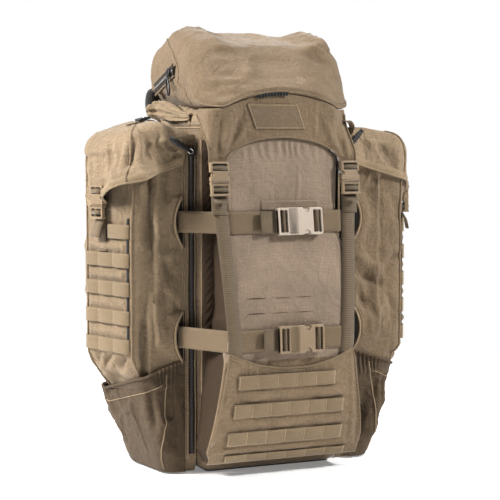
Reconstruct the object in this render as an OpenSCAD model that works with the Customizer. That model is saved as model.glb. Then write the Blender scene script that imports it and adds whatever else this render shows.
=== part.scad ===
// Large hunting backpack with two side pods, a hinged lid and a full harness.
// The front faces -Y, the wearer's back is at +Y, and the base stands on Z = 0.

/* [Main bag] */
// Width of the main bag between the two pods
bag_w = 280; // [260:5:320]
// Depth of the main bag from front wall to back wall
bag_d = 240; // [220:5:280]
// Height of the main bag's rim
bag_h = 620; // [590:5:680]
// Corner radius of the main bag in plan
bag_r = 26; // [18:1:34]
// Thickness of a lined fabric wall
wall = 3; // [2:0.5:5]
// Height of the gathered collar above the rim
collar_h = 28; // [20:1:36]
// Thickness of the stiff base panel
base_t = 2.7; // [2:0.1:4]

/* [Front pocket] */
// Depth of the front pocket at its top
pocket_top_d = 38; // [30:1:50]
// How much deeper the pocket is where it is fullest
pocket_bulge = 45; // [30:1:60]
// Height at which the pocket is fullest
pocket_full_z = 200; // [180:5:230]
// Width of the upper part of the pocket
pocket_w = 228; // [210:2:240]
// Width of the pocket near its foot
pocket_foot_w = 300; // [280:2:320]
// Radius of the pocket's upright front edges
pocket_r = 14; // [8:1:20]

/* [Side pods] */
// Reach of a pod out from the bag's side
pod_w = 165; // [140:5:190]
// Depth of a pod from its front face to its rear face
pod_d = 176; // [160:4:190]
// Distance of a pod's front face behind the bag's front wall
pod_set_back = 22; // [16:1:30]
// Height of a pod's rim beside the bag
pod_h = 600; // [570:5:640]
// How far the outer face leans out towards the rear
pod_splay = 43; // [30:1:55]
// Stand-off of the stretch pocket from the pod
pod_pocket_gap = 16; // [12:1:20]

/* [Lid] */
// Width of the lid
lid_w = 300; // [280:4:330]
// Height of the lid from its lower edge to its crown
lid_h = 150; // [120:5:180]
// Rise of the arch in the lid's front edge
lid_arch = 28; // [15:1:35]
// Height of the arched lower edge of the apron at the middle
apron_z = 601; // [585:1:606]

/* [Webbing and buckles] */
// Width of the narrow webbing
web_narrow = 25; // [20:1:30]
// Width of the compression webbing
web_wide = 38; // [32:1:44]
// Width of the hip belt webbing
web_belt = 50; // [44:1:56]
// Thickness of the webbing
web_t = 2; // [1.5:0.1:2.2]
// Upright pitch of the webbing rows
row_pitch = 50.8; // [48:0.2:54]
// Height of the middle of the upper compression strap
upper_strap_z = 452; // [440:1:470]
// Height of the middle of the lower compression strap
lower_strap_z = 247; // [244:1:262]

/* [Harness] */
// Width of a shoulder strap
shoulder_w = 62; // [54:1:66]
// Thickness of a shoulder strap
shoulder_t = 14; // [10:1:16]
// Height of a hip belt wing
wing_h = 110; // [90:2:116]
// Thickness of a hip belt wing
wing_t = 13; // [10:1:15]

/* [Fit] */
// Gap between pieces that lie or are sewn together
seat = 0.3; // [0.25:0.05:0.4]
// Gap round the prongs inside a buckle
prong_gap = 0.4; // [0.3:0.05:0.5]

/* [Hidden] */
$fn = 48;

// Colours of the fabrics and the plastic
tan = [0.62, 0.52, 0.38];
light_tan = [0.70, 0.60, 0.45];
taupe = [0.50, 0.44, 0.36];
webbing_tan = [0.66, 0.57, 0.43];
plastic_tan = [0.68, 0.58, 0.45];
black = [0.08, 0.08, 0.08];
grey = [0.35, 0.35, 0.35];

// Planes that many pieces share
bag_front = -bag_d / 2;
bag_back = bag_d / 2;
bag_side = bag_w / 2;
floor_z = base_t + seat;
pod_in = bag_side + seat;
pod_front = bag_front + pod_set_back;
pod_rear = pod_front + pod_d;
lid_z = bag_h + collar_h + 3;
front_top_z = lid_z - 1;

// Layers that lie one on another in front of the front pocket
layer_1 = seat;
layer_2 = layer_1 + web_t + seat;
layer_3 = layer_2 + web_t + seat;

// Shape helpers

function unit(v) = v / norm(v);

// Sum of a list of vectors
function total(list) = [for (p = list) 1] * list;

// Points of the arc of radius r that rounds corner b between a and c
function corner_arc(a, b, c, r, n) = r <= 0 ? [b] :
    let (
        u = unit(a - b),
        w = unit(c - b),
        half = acos(u * w) / 2,
        middle = b + unit(u + w) * r / sin(half),
        p = b + u * r / tan(half) - middle,
        q = b + w * r / tan(half) - middle,
        start = atan2(p.y, p.x),
        turn = (atan2(q.y, q.x) - start + 540) % 360 - 180
    )
    [for (i = [0:n]) middle + r * [cos(start + turn * i / n), sin(start + turn * i / n)]];

// Polygon whose corners are rounded, each with its own radius
function rounded(pts, radii, n = 4) =
    let (k = len(pts))
    [for (i = [0:k - 1])
        each corner_arc(pts[(i + k - 1) % k], pts[i], pts[(i + 1) % k], radii[i], n)];

// Convex polygon, given counter-clockwise, drawn in by d on every side
function drawn_in(pts, d) =
    let (k = len(pts))
    [for (i = [0:k - 1])
        let (
            u = unit(pts[i] - pts[(i + k - 1) % k]),
            w = unit(pts[(i + 1) % k] - pts[i]),
            m = [-u.y - w.y, u.x + w.x]
        )
        pts[i] + m * d * 2 / (m * m)];

// Ring at height z from a polygon
function at_z(pts, z) = [for (p = pts) [p.x, p.y, z]];

// Ring in a plane across X from a polygon in Y and Z
function at_x(pts, x) = [for (p = pts) [x, p.x, p.y]];

// Ring in a plane across Y from a polygon in X and Z
function at_y(pts, y) = [for (p = pts) [p.x, y, p.y]];

// Outline of a strip of thickness t whose middle follows a path
function strip(path, t) =
    let (
        k = len(path) - 1,
        sides = [for (i = [0:k - 1])
            let (u = unit(path[i + 1] - path[i])) [-u.y, u.x]],
        mitres = [for (i = [0:k])
            let (m = sides[max(i - 1, 0)] + sides[min(i, k - 1)]) m * 2 / (m * m)]
    )
    concat(
        [for (i = [0:k]) path[i] + mitres[i] * t / 2],
        [for (i = [k:-1:0]) path[i] - mitres[i] * t / 2]);

// Triangles of a ring's end: a ribbon's across the ribbon, any other's round its middle
function end_faces(n, first, middle, ribbon) = ribbon
    ? [for (i = [0:n / 2 - 2])
        each [[first + i, first + i + 1, first + n - 2 - i],
              [first + i, first + n - 2 - i, first + n - 1 - i]]]
    : [for (i = [0:n - 1]) [first + i, first + (i + 1) % n, middle]];

function turned(faces) = [for (f = faces) [for (i = [len(f) - 1:-1:0]) f[i]]];

// Solid skinned over rings that all have the same number of points
module loft(rings, closed = false, ribbon = false) {
    n = len(rings[0]);
    m = len(rings);
    facing = total([for (i = [0:n - 1]) cross(rings[0][i], rings[0][(i + 1) % n])]);
    along = total(rings[1]) - total(rings[0]);
    flip = facing * along < 0;
    last = closed ? m - 1 : m - 2;
    sides = [for (j = [0:last]) for (i = [0:n - 1])
        let (
            a = j * n + i,
            b = j * n + (i + 1) % n,
            c = ((j + 1) % m) * n + (i + 1) % n,
            d = ((j + 1) % m) * n + i
        )
        each [[a, c, b], [a, d, c]]];
    ends = closed ? [] : concat(
        end_faces(n, 0, m * n, ribbon),
        turned(end_faces(n, (m - 1) * n, m * n + 1, ribbon)));
    middles = closed || ribbon ? [] : [total(rings[0]) / n, total(rings[m - 1]) / n];
    faces = concat(sides, ends);
    polyhedron(
        points = concat([for (r = rings) each r], middles),
        faces = flip ? turned(faces) : faces);
}

// Strip whose path lies in Y and Z, spread along X about x
module strip_yz(path, t, x, w) {
    translate([x - w / 2, 0, 0])
        rotate([90, 0, 90])
            linear_extrude(w)
                polygon(strip(path, t));
}

// Strip whose path lies in X and Y, standing from z up by h
module strip_xy(path, t, z, h) {
    translate([0, 0, z])
        linear_extrude(h)
            polygon(strip(path, t));
}

// The same on both sides of the pack
module both_sides() {
    children();
    mirror([1, 0, 0])
        children();
}

// The surface of the front pocket

// Foot of the pocket, and how far its lower edge tucks under
pocket_foot_z = 25;
pocket_tuck = 80;
pocket_top_z = bag_h - 20;

// Depth of the front pocket in front of the bag at height z
function front_depth(z) = z > pocket_full_z
    ? pocket_top_d + pocket_bulge *
        (1 + cos(180 * (min(z, front_top_z) - pocket_full_z) / (front_top_z - pocket_full_z))) / 2
    : pocket_top_d + pocket_bulge -
        pocket_tuck * (1 - sqrt(1 - pow((pocket_full_z - z) / pocket_full_z, 2)));

function front_y(z) = bag_front - front_depth(z);

// Lean of the front surface from upright at height z
function front_lean(z) = atan2(front_y(z + 1) - front_y(z - 1), 2);

// Half width of the front pocket at height z
function pocket_half(z) = lookup(z, [
    [pocket_foot_z, pocket_foot_w / 2 - 12],
    [pocket_foot_z + 25, pocket_foot_w / 2],
    [300, pocket_w / 2],
    [pocket_top_z - 40, pocket_w / 2],
    [pocket_top_z, pocket_w / 2 - 14]]);

// Half width of the flat part of the pocket's front
function flat_half(z) = pocket_half(z) - pocket_r;

// Outline in Y and Z of a layer that lies on the front surface,
// and whose steps are closest at its foot when crowd is more than 1
function front_layer(z0, z1, lift, t, n = 4, crowd = 1) =
    let (heights = [for (i = [0:n]) z0 + (z1 - z0) * pow(i / n, crowd)])
    concat(
        [for (i = [0:n]) [front_y(heights[i]) - lift, heights[i]]],
        [for (i = [n:-1:0]) [front_y(heights[i]) - lift - t, heights[i]]]);

// Puts a piece on the front surface, its back on the surface's layer
module on_front(x, z, lift) {
    translate([x, front_y(z) - lift / cos(front_lean(z)), z])
        rotate([-front_lean(z), 0, 0])
            children();
}

// Buckles: the mouth is at X = 0, the female half is at +X, the back at Z = 0

function buckle_w(web) = web + 10;
function buckle_t(web) = 0.22 * web + 4;
function female_l(web) = 1.2 * web + 4;
function male_l(web) = 0.85 * web + 4;
function prong_l(web) = 0.6 * web;

// Thickness of a buckle's plastic walls, its bars and its slots
buckle_wall = 1.8;
buckle_bar = 4;
buckle_slot = 5;

module buckle_female(web) {
    w = buckle_w(web);
    t = buckle_t(web);
    l = female_l(web);
    prong = prong_l(web);
    // Depth of the side windows that show the prongs
    window = buckle_wall + 1.5;
    difference() {
        linear_extrude(t)
            polygon(rounded(
                [[0, -w / 2], [l, -w / 2], [l, w / 2], [0, w / 2]],
                [2, 6, 6, 2], 5));
        translate([-1, buckle_wall - w / 2, buckle_wall])
            cube([prong + prong_gap + 2, w - 2 * buckle_wall, t - 2 * buckle_wall]);
        for (side = [-1, 1])
            translate([prong * 0.45, side * (w / 2) - window / 2 - side * 0.2, -1])
                cube([prong * 0.55 + prong_gap + 1, window, t + 2]);
        translate([l - buckle_bar - buckle_slot, -web / 2 - 0.8, -1])
            cube([buckle_slot, web + 1.6, t + 2]);
    }
}

module buckle_male(web) {
    w = buckle_w(web);
    t = buckle_t(web);
    l = male_l(web);
    prong = prong_l(web);
    // Width of one prong, and the height that is left inside the female half
    arm = 0.14 * web;
    inner = t - 2 * buckle_wall - 2 * prong_gap;
    reach = w / 2 - buckle_wall - prong_gap;
    difference() {
        translate([-seat - l, 0, 0])
            linear_extrude(t)
                polygon(rounded(
                    [[0, -w / 2], [l, -w / 2], [l, w / 2], [0, w / 2]],
                    [5, 2, 2, 5], 5));
        for (i = [0, 1])
            translate([-seat - l + buckle_bar + i * (buckle_slot + buckle_bar), -web / 2 - 0.8, -1])
                cube([buckle_slot, web + 1.6, t + 2]);
        // The middle bar is recessed behind, so that the webbing passes under it
        translate([-seat - l + buckle_bar + buckle_slot - 1, -web / 2 - 0.8, -1])
            cube([buckle_bar + 2, web + 1.6, web_t + seat + 1]);
    }
    translate([-seat - 1, 0, buckle_wall + prong_gap]) {
        for (side = [-1, 1])
            translate([0, side > 0 ? reach - arm : -reach, 0])
                cube([prong + seat + 1, arm, inner]);
        translate([0, -arm / 2, 0])
            cube([prong * 0.7, arm, inner]);
    }
}

// Loop of webbing that lies round the middle bar of a male half, with its tail
module buckle_tail(web, tail) {
    t = buckle_t(web);
    l = male_l(web);
    bar = -seat - l + buckle_bar + buckle_slot;
    x0 = bar - seat - web_t;
    x1 = bar + buckle_bar + seat + web_t;
    z1 = t + seat + web_t;
    translate([0, web / 2, 0])
        rotate([90, 0, 0])
            linear_extrude(web)
                difference() {
                    union() {
                        translate([x0, 0])
                            square([x1 - x0, z1]);
                        translate([x0 - tail, t + seat])
                            square([tail + web_t, web_t]);
                    }
                    translate([bar - seat, web_t])
                        square([buckle_bar + 2 * seat, t + seat - web_t]);
                }
}

// The main bag and what stiffens it

// Plan of the main bag, drawn in by d
function bag_plan(d) =
    let (x = bag_side - d, y0 = bag_front + d, y1 = bag_back - d, r = max(bag_r - d, 5))
    rounded([[-x, y0], [x, y0], [x, y1], [-x, y1]], [r, r, r, r], 5);

module main_bag() {
    color(tan)
        loft([
            at_z(bag_plan(16), floor_z),
            at_z(bag_plan(5), floor_z + 8),
            at_z(bag_plan(0), floor_z + 26),
            at_z(bag_plan(0), bag_h),
            at_z(bag_plan(wall), bag_h),
            at_z(bag_plan(wall), floor_z + 27),
            at_z(bag_plan(wall + 5), floor_z + 10),
            at_z(bag_plan(wall + 14), floor_z + wall)]);
}

// How far the collar draws the mouth in
collar_in = 42;

module bag_collar() {
    z = bag_h + seat;
    color(light_tan)
        loft([
            at_z(bag_plan(3), z),
            at_z(bag_plan(1), z + collar_h * 0.35),
            at_z(bag_plan(4), z + collar_h * 0.75),
            at_z(bag_plan(14), z + collar_h),
            at_z(bag_plan(collar_in), z + collar_h),
            at_z(bag_plan(collar_in + 6), z + collar_h * 0.6),
            at_z(bag_plan(collar_in - 16), z + collar_h * 0.3),
            at_z(bag_plan(6), z)], closed = true);
}

module base_panel() {
    color(black)
        linear_extrude(base_t)
            polygon(bag_plan(18));
}

// Plastic sheet that stands against the inside of the back wall
sheet_t = 2.5;
sheet_w = 210;
sheet_y = bag_back - wall - seat - sheet_t;
sheet_z = floor_z + 30;
stay_w = 20;
stay_t = 3;
stay_x = 60;

module frame_sheet() {
    color(black)
        translate([-sheet_w / 2, sheet_y, sheet_z])
            cube([sheet_w, sheet_t, bag_h - 12 - sheet_z]);
}

module frame_stays() {
    color("silver")
        for (x = [-stay_x, stay_x])
            translate([x - stay_w / 2, sheet_y - seat - stay_t, sheet_z + 4])
                cube([stay_w, stay_t, bag_h - 24 - sheet_z]);
}

// The harness

// Cushion on the back wall, with its crown and drawn-in sides
module cushion(x0, x1, z0, z1, t) {
    y = bag_back + seat;
    pts = [[x0, z0], [x1, z0], [x1, z1], [x0, z1]];
    radii = [16, 16, 16, 16];
    steps = [[0, 5], [0.25, 1], [0.55, 0], [0.8, 3], [0.94, 8], [1, 15]];
    loft([for (s = steps)
        at_y(rounded(drawn_in(pts, s[1]), radii - [1, 1, 1, 1] * s[1] * 0.6), y + t * s[0])]);
}

lumbar_w = 190;
lumbar_z = [50, 185];
lumbar_t = 24;

module lumbar_pad() {
    color(black)
        cushion(-lumbar_w / 2, lumbar_w / 2, lumbar_z[0], lumbar_z[1], lumbar_t);
}

// Two columns of back pads with an air channel between them
back_pad_w = 82;
back_pad_h = 140;
back_pad_t = 18;
back_pad_gap = 10;
back_channel = 32;
back_pad_z = lumbar_z[1] + 29;

module back_pads() {
    color(black)
        for (x = [-back_channel / 2 - back_pad_w, back_channel / 2])
            for (z = [back_pad_z, back_pad_z + back_pad_h + back_pad_gap])
                cushion(x, x + back_pad_w, z, z + back_pad_h, back_pad_t);
}

// Path of a shoulder strap's middle: away from the back wall, height, place along X,
// with the heights counted from the top of the strap
shoulder_z = bag_h - 48;
shoulder_path = [for (p = [
    [0, -58, 62], [0, -40, 62], [6, -16, 62], [22, -1, 62], [42, 0, 62], [60, -14, 63],
    [69, -42, 64], [74, -87, 67], [74, -142, 72], [69, -202, 80], [62, -252, 90], [56, -284, 98]])
    [p[0], shoulder_z + p[1], p[2]]];

// Ring of a flat pad of width w and thickness t round a point
function pad_ring(p, across, up, w, t) =
    let (a = w / 2, b = t / 2, c = t * 0.35)
    [for (k = [[-a, -b + c], [-a + c, -b], [a - c, -b], [a, -b + c],
               [a, b - c], [a - c, b], [-a + c, b], [-a, b - c]])
        p + across * k[0] + up * k[1]];

shoulder_y = bag_back + seat + shoulder_t / 2;

module shoulder_strap() {
    pts = [for (p = shoulder_path) [p[2], shoulder_y + p[0], p[1]]];
    k = len(pts) - 1;
    loft([for (i = [0:k])
        let (
            d = unit(pts[min(i + 1, k)] - pts[max(i - 1, 0)]),
            up = unit([0, d.z, -d.y])
        )
        pad_ring(pts[i], [1, 0, 0], i == 0 ? [0, 1, 0] : up, shoulder_w, shoulder_t)]);
}

module right_shoulder_strap() {
    color(tan)
        shoulder_strap();
}

module left_shoulder_strap() {
    color(tan)
        mirror([1, 0, 0])
            shoulder_strap();
}

// Webbing from the lower end of a shoulder strap to the back wall
strap_end = shoulder_path[len(shoulder_path) - 1];
web_top = [strap_end[2], shoulder_y + strap_end[0] - 1, strap_end[1] - shoulder_t / 2 + 2];
web_foot = [104, bag_back + seat, 186];
web_along = unit(web_foot - web_top);
web_out = unit([0, -web_along.z, web_along.y]);

// Flat band between two points, its faces square to out
module band(p, q, w, t, out) {
    loft([for (c = [p, q])
        [for (k = [[-1, 0], [1, 0], [1, 1], [-1, 1]])
            c + [1, 0, 0] * k[0] * w / 2 + out * k[1] * t]]);
}

module shoulder_webbing() {
    color(webbing_tan)
        both_sides()
            band(web_top + web_along * seat, web_foot, web_narrow, web_t, web_out);
}

module shoulder_adjusters() {
    w = web_narrow + 8;
    color(plastic_tan)
        both_sides()
            band(web_top + web_along * 5 + web_out * (web_t + seat),
                 web_top + web_along * 30 + web_out * (web_t + seat), w, 4, web_out);
}

module load_lifters() {
    top = shoulder_y + shoulder_path[4][0];
    z = shoulder_path[4][1] + shoulder_t / 2 + seat + web_t / 2;
    y = bag_back + seat + web_t / 2;
    color(webbing_tan)
        for (x = [-shoulder_path[4][2], shoulder_path[4][2]])
            strip_yz([[y, bag_h - 4], [y, bag_h - 14], [top - 12, z + 0.6], [top - 2, z + 0.4]],
                web_t, x, 20);
}

module haul_handle() {
    y = bag_back + seat;
    color(webbing_tan)
        strip_xy([[-46, y + 2], [-38, y + 2], [-26, y + 24], [26, y + 24], [38, y + 2], [46, y + 2]],
            4, bag_h - 34, 22);
}

// Hip belt, buckled in a ring behind the lumbar pad
wing_y = bag_back + seat + lumbar_t + seat + wing_t / 2;
wing_z = (lumbar_z[0] + lumbar_z[1] - wing_h) / 2 + 3;
wing_path = [[6, wing_y], [70, wing_y], [112, wing_y + 3], [142, wing_y + 16], [158, wing_y + 42],
    [158, wing_y + 72], [142, wing_y + 98], [122, wing_y + 112]];

module hip_wing() {
    strip_xy(wing_path, wing_t, wing_z, wing_h);
}

module right_hip_wing() {
    color(tan)
        hip_wing();
}

module left_hip_wing() {
    color(tan)
        mirror([1, 0, 0])
            hip_wing();
}

// The belt's webbing leaves the end of the wing and runs on to the buckle
belt_z = wing_z + wing_h / 2;
belt_end = wing_path[len(wing_path) - 1];
belt_along = unit(belt_end - wing_path[len(wing_path) - 2]);
belt_start = belt_end + belt_along * seat;
belt_depth = 124;
belt_y = wing_y + belt_depth;

module hip_webbing() {
    color(black)
        both_sides()
            strip_xy([belt_start, belt_start + belt_along * 8, [84, belt_y], [10, belt_y]],
                web_t, belt_z - web_belt / 2, web_belt);
}

// Puts a buckle behind the pack, its back on a face at y
module on_back(x, y, z) {
    translate([x, y, z])
        rotate([90, 0, 180])
            children();
}

belt_face = belt_y + web_t / 2 + seat;

module hip_buckle_female() {
    color(black)
        on_back(0, belt_face, belt_z)
            buckle_female(web_belt);
}

module hip_buckle_male() {
    color(black)
        on_back(0, belt_face, belt_z)
            buckle_male(web_belt);
}

// Sternum strap across the two shoulder straps
sternum_at = shoulder_path[8];
sternum_y = shoulder_y + sternum_at[0] + shoulder_t / 2 + seat + web_t / 2;

module sternum_webbing() {
    color(black)
        both_sides()
            strip_xy([[6, sternum_y], [sternum_at[2] + 10, sternum_y]],
                web_t, sternum_at[1] - web_narrow / 2, web_narrow);
}

sternum_face = sternum_y + web_t / 2 + seat;

module sternum_buckle_female() {
    color(black)
        on_back(0, sternum_face, sternum_at[1])
            buckle_female(web_narrow);
}

module sternum_buckle_male() {
    color(black)
        on_back(0, sternum_face, sternum_at[1])
            buckle_male(web_narrow);
}

// The front pocket, the lower panel and the straps in front of them

// Heights of the rings that the pocket is skinned over
pocket_rings = concat(
    [for (z = [pocket_foot_z:7:60]) z],
    [for (z = [72:20:pocket_top_z - 10]) z],
    [pocket_top_z]);

module front_pocket() {
    color(taupe)
        loft([for (z = pocket_rings)
            let (w = pocket_half(z), f = front_y(z), b = bag_front - seat)
            at_z(rounded([[-w, f], [w, f], [w, b], [-w, b]], [pocket_r, pocket_r, 0, 0], 5), z)]);
}

// Zip on the right side wall of the front pocket
zip_w = 20;
zip_t = 1.6;
coil_w = 6;
coil_t = 1.6;
pocket_zip_x = pocket_w / 2 + seat;
pocket_zip_y = bag_front - 22;
pocket_zip_z = [314, pocket_top_z - 44];

module pocket_zip() {
    l = pocket_zip_z[1] - pocket_zip_z[0];
    color(grey)
        translate([pocket_zip_x, pocket_zip_y, pocket_zip_z[0]]) {
            translate([0, -zip_w / 2, 0])
                cube([zip_t, zip_w, l]);
            translate([0, -coil_w / 2, 0])
                cube([zip_t + coil_t, coil_w, l]);
        }
}

// Zip slider with its puller: the zip's face is at Y = 0, the front at -Y
slider_w = 12;
slider_h = 16;
slider_t = 6;
puller_l = 34;

module zip_slider(turn) {
    translate([-slider_w / 2, -seat - slider_t, -slider_h / 2])
        cube([slider_w, slider_t, slider_h]);
    translate([0, -slider_t, 0])
        rotate([0, turn, 0])
            translate([-3.5, -3.5, 0])
                cube([7, 4, puller_l]);
}

module pocket_zip_slider() {
    color("silver")
        translate([pocket_zip_x + zip_t + coil_t, pocket_zip_y, pocket_zip_z[1] - 12])
            rotate([0, 0, 90])
                zip_slider(180);
}

// Lower front panel, whose top edge hangs like a bowl between the lid straps
panel_top = lower_strap_z - web_wide / 2 - 2;
panel_dip = 30;
panel_foot = pocket_foot_z + 3;
panel_lift = 0.4;
panel_t = web_t - panel_lift;

// Height of the panel's upper edge at a place across the pack
function panel_edge(x) =
    let (
        corner = flat_half(panel_top),
        side = flat_half(pocket_foot_z + 25),
        slope = (panel_top - pocket_foot_z - 25) / (side - corner)
    )
    abs(x) > corner
        ? panel_top - (abs(x) - corner) * slope
        : panel_top - panel_dip * (1 - pow(x / corner, 2));

module lower_panel() {
    corner = flat_half(panel_top);
    side = flat_half(pocket_foot_z + 25);
    half = [for (k = [0, 0.25, 0.5, 0.75, 1]) k * corner];
    flank = [for (k = [0.3, 0.6, 0.85]) corner + (side - corner) * k];
    right = concat(half, flank);
    stations = concat([for (i = [len(right) - 1:-1:1]) -right[i]], right);
    color(tan)
        loft([for (x = stations)
            at_x(front_layer(panel_foot, panel_edge(x), layer_1 + panel_lift, panel_t, 16, 1.5), x)],
            ribbon = true);
}

// Heights of the lower edges of the webbing rows on the lower panel
front_rows = [for (i = [0:2]) panel_foot + 33 + i * row_pitch];

module front_webbing_rows() {
    color(webbing_tan) {
        for (z = front_rows)
            row_on_front(z, z + web_narrow, flat_half(z + web_narrow) - 4);
        row_on_front(panel_foot + 1, panel_foot + 15, flat_half(pocket_foot_z + 16) - 8);
    }
}

module row_on_front(z0, z1, half) {
    translate([-half, 0, 0])
        rotate([90, 0, 90])
            linear_extrude(2 * half)
                polygon(front_layer(z0, z1, layer_2, web_t));
}

// Where a compression strap is sewn to the pod's front face
strap_anchor = pod_in + 34;
strap_lift = layer_1 + 0.15;

// Back and front points of a compression strap on the right side at height z
function strap_points(z, x_end) =
    let (
        middle = [pocket_half(z) - pocket_r, front_y(z) + pocket_r],
        r = pocket_r + strap_lift,
        anchor = [strap_anchor, pod_front - seat],
        reach = anchor - middle,
        wrap = atan2(reach.y, reach.x) + asin(r / norm(reach)),
        out = [for (i = [6:-1:0]) [sin(wrap * i / 6), -cos(wrap * i / 6)]]
    )
    concat(
        [[anchor, out[0]]],
        [for (n = out) [middle + r * n, n]],
        [[[x_end, front_y(z) - strap_lift], [0, -1]]]);

// One half of a compression strap, from the pod to a place on the front
module compression_half(z, x_end) {
    low = strap_points(z - web_wide / 2, x_end);
    high = strap_points(z + web_wide / 2, x_end);
    loft([for (i = [0:len(low) - 1])
        let (
            a = low[i][0],
            b = a + low[i][1] * web_t,
            c = high[i][0],
            d = c + high[i][1] * web_t
        )
        [[a.x, a.y, z - web_wide / 2], [b.x, b.y, z - web_wide / 2],
         [d.x, d.y, z + web_wide / 2], [c.x, c.y, z + web_wide / 2]]]);
}

// Place of the buckles' mouths across the pack
upper_mouth = 16;
lower_mouth = 8;

module compression_strap(z, mouth) {
    compression_half(z, mouth + female_l(web_wide) - 12);
    mirror([1, 0, 0])
        compression_half(z, male_l(web_wide) - mouth - 8);
}

module upper_strap() {
    color(webbing_tan)
        compression_strap(upper_strap_z, upper_mouth);
}

module lower_strap() {
    color(webbing_tan)
        compression_strap(lower_strap_z, lower_mouth);
}

// Puts a buckle across the front, its female half to the right
module across_front(x, z) {
    on_front(x, z, layer_2 + 0.3)
        rotate([90, 0, 0])
            children();
}

module upper_buckle_female() {
    color(plastic_tan)
        across_front(upper_mouth, upper_strap_z)
            buckle_female(web_wide);
}

module upper_buckle_male() {
    color(plastic_tan)
        across_front(upper_mouth, upper_strap_z)
            buckle_male(web_wide);
}

module upper_strap_tail() {
    color(webbing_tan)
        across_front(upper_mouth, upper_strap_z)
            buckle_tail(web_wide, 34);
}

module lower_buckle_female() {
    color(plastic_tan)
        across_front(lower_mouth, lower_strap_z)
            buckle_female(web_wide);
}

module lower_buckle_male() {
    color(plastic_tan)
        across_front(lower_mouth, lower_strap_z)
            buckle_male(web_wide);
}

module lower_strap_tail() {
    color(webbing_tan)
        across_front(lower_mouth, lower_strap_z)
            buckle_tail(web_wide, 30);
}

// Lid straps, from the corners of the lower panel up to the lid's buckles
lid_mouth_z = 524;
lid_strap_x = 126;
lid_strap_foot_x = 106;
lid_strap_z = [panel_top - 18, lid_mouth_z - 8];

module lid_straps() {
    n = 12;
    color(webbing_tan)
        both_sides()
            loft([for (i = [0:n])
                let (
                    z = lid_strap_z[0] + (lid_strap_z[1] - lid_strap_z[0]) * i / n,
                    x = lid_strap_foot_x + (lid_strap_x - lid_strap_foot_x) * i / n,
                    y = front_y(z) - layer_2,
                    h = web_narrow / 2
                )
                [[x - h, y - web_t, z], [x + h, y - web_t, z], [x + h, y, z], [x - h, y, z]]]);
}

// Puts a buckle on the front with its female half upwards
module up_front(x, z) {
    on_front(x, z, layer_3 + 0.9)
        rotate([0, -90, 0])
            rotate([90, 0, 0])
                children();
}

module right_lid_buckle_male() {
    color(plastic_tan)
        up_front(lid_strap_x, lid_mouth_z)
            buckle_male(web_narrow);
}

module left_lid_buckle_male() {
    color(plastic_tan)
        up_front(-lid_strap_x, lid_mouth_z)
            buckle_male(web_narrow);
}

module lid_buckle_females() {
    color(plastic_tan)
        for (x = [-lid_strap_x, lid_strap_x])
            up_front(x, lid_mouth_z)
                buckle_female(web_narrow);
}

// The side pods

// Share of its full reach that a pod has at height z
pod_full_z = 212;
pod_foot_share = 0.46;
function pod_share(z) = z > pod_full_z ? 1
    : pod_foot_share + (1 - pod_foot_share) * pow(z / pod_full_z, 1.25);

// Corners of a pod in plan, from its inner front corner round to its inner rear corner
pod_x = pod_in + pod_w - pod_splay;
function pod_corners(k) =
    let (w = pod_w * k, s = pod_splay * k)
    [[pod_in, pod_front], [pod_in + w - s, pod_front], [pod_in + w, pod_front + pod_d * 0.67],
     [pod_in + w * 0.9, pod_rear - 4], [pod_in, pod_rear]];

pod_radii = [0, 24, 30, 26, 0];

// Drop of a pod's rim towards its outer side
rim_fall = 0.2;
function rim_drop(x) = rim_fall * (x - pod_in);
function at_rim(pts, z) = [for (p = pts) [p.x, p.y, z - rim_drop(p.x)]];

// Corners of the same plan moved out by d, with the inner plane left in place
function pod_moved(k, d) =
    let (p = drawn_in(pod_corners(k), -d))
    [[pod_in, p[0].y], p[1], p[2], p[3], [pod_in, p[4].y]];

// Radii of a plan that is moved out by d
function moved_radii(d) = [for (r = pod_radii) r > 0 ? max(r + d, 5) : 0];

function pod_plan(k, d) = rounded(pod_moved(k, d), moved_radii(d));

pod_foot_z = 1;

module pod() {
    steps = [14, 35, 70, 110, 150, 185, pod_full_z];
    loft(concat(
        [at_z(pod_plan(pod_share(0), -10), pod_foot_z)],
        [for (z = steps) at_z(pod_plan(pod_share(z), z < 20 ? -3 : 0), z)],
        [at_rim(pod_plan(1, 0), pod_h)],
        [at_rim([for (p = pod_plan(1, -wall)) [max(p.x, pod_in + wall), p.y]], pod_h)],
        [for (i = [len(steps) - 1:-1:0])
            let (z = steps[i])
            at_z([for (p = pod_plan(pod_share(z), z < 20 ? -3 - wall : -wall))
                [max(p.x, pod_in + wall), p.y]], z + wall)]));
}

module right_pod() {
    color(tan)
        pod();
}

module left_pod() {
    color(light_tan)
        mirror([1, 0, 0])
            pod();
}

// Stretch pocket round the foot of a pod, sewn on beside the side zip
pocket_seam = pod_in + 22;
pocket_t = 2.5;
pocket_foot = 3;

// Stand-off at height z: the pocket is drawn in to the pod at its foot
function pocket_gap(z) = 0.6 + (pod_pocket_gap - 0.6) * min(1, z / 60);

function pod_pocket_path(k, g, d) =
    let (p = pod_corners(k))
    rounded([
        [pocket_seam, pod_front - seat - d],
        [p[1].x + g * 0.7 + d * 0.8, pod_front - g - d],
        [p[2].x + g + d, p[2].y],
        [p[3].x + g * 0.7 + d * 0.8, pod_rear + g * 0.7 + d],
        [pocket_seam, pod_rear + seat + d]],
        [0, 26 + d, 34 + d, 30 + d, 0]);

function pocket_section(k, z) =
    let (
        a = pod_pocket_path(k, pocket_gap(z), pocket_t),
        b = pod_pocket_path(k, pocket_gap(z), 0)
    )
    concat(at_z(a, z), [for (i = [len(b) - 1:-1:0]) [b[i].x, b[i].y, z]]);

// The pocket's rim falls towards the outer side
rim_z = 205;
function at_pocket_rim(ring) = [for (p = ring) [p.x, p.y, rim_z - 0.35 * (p.x - pocket_seam)]];

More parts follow.
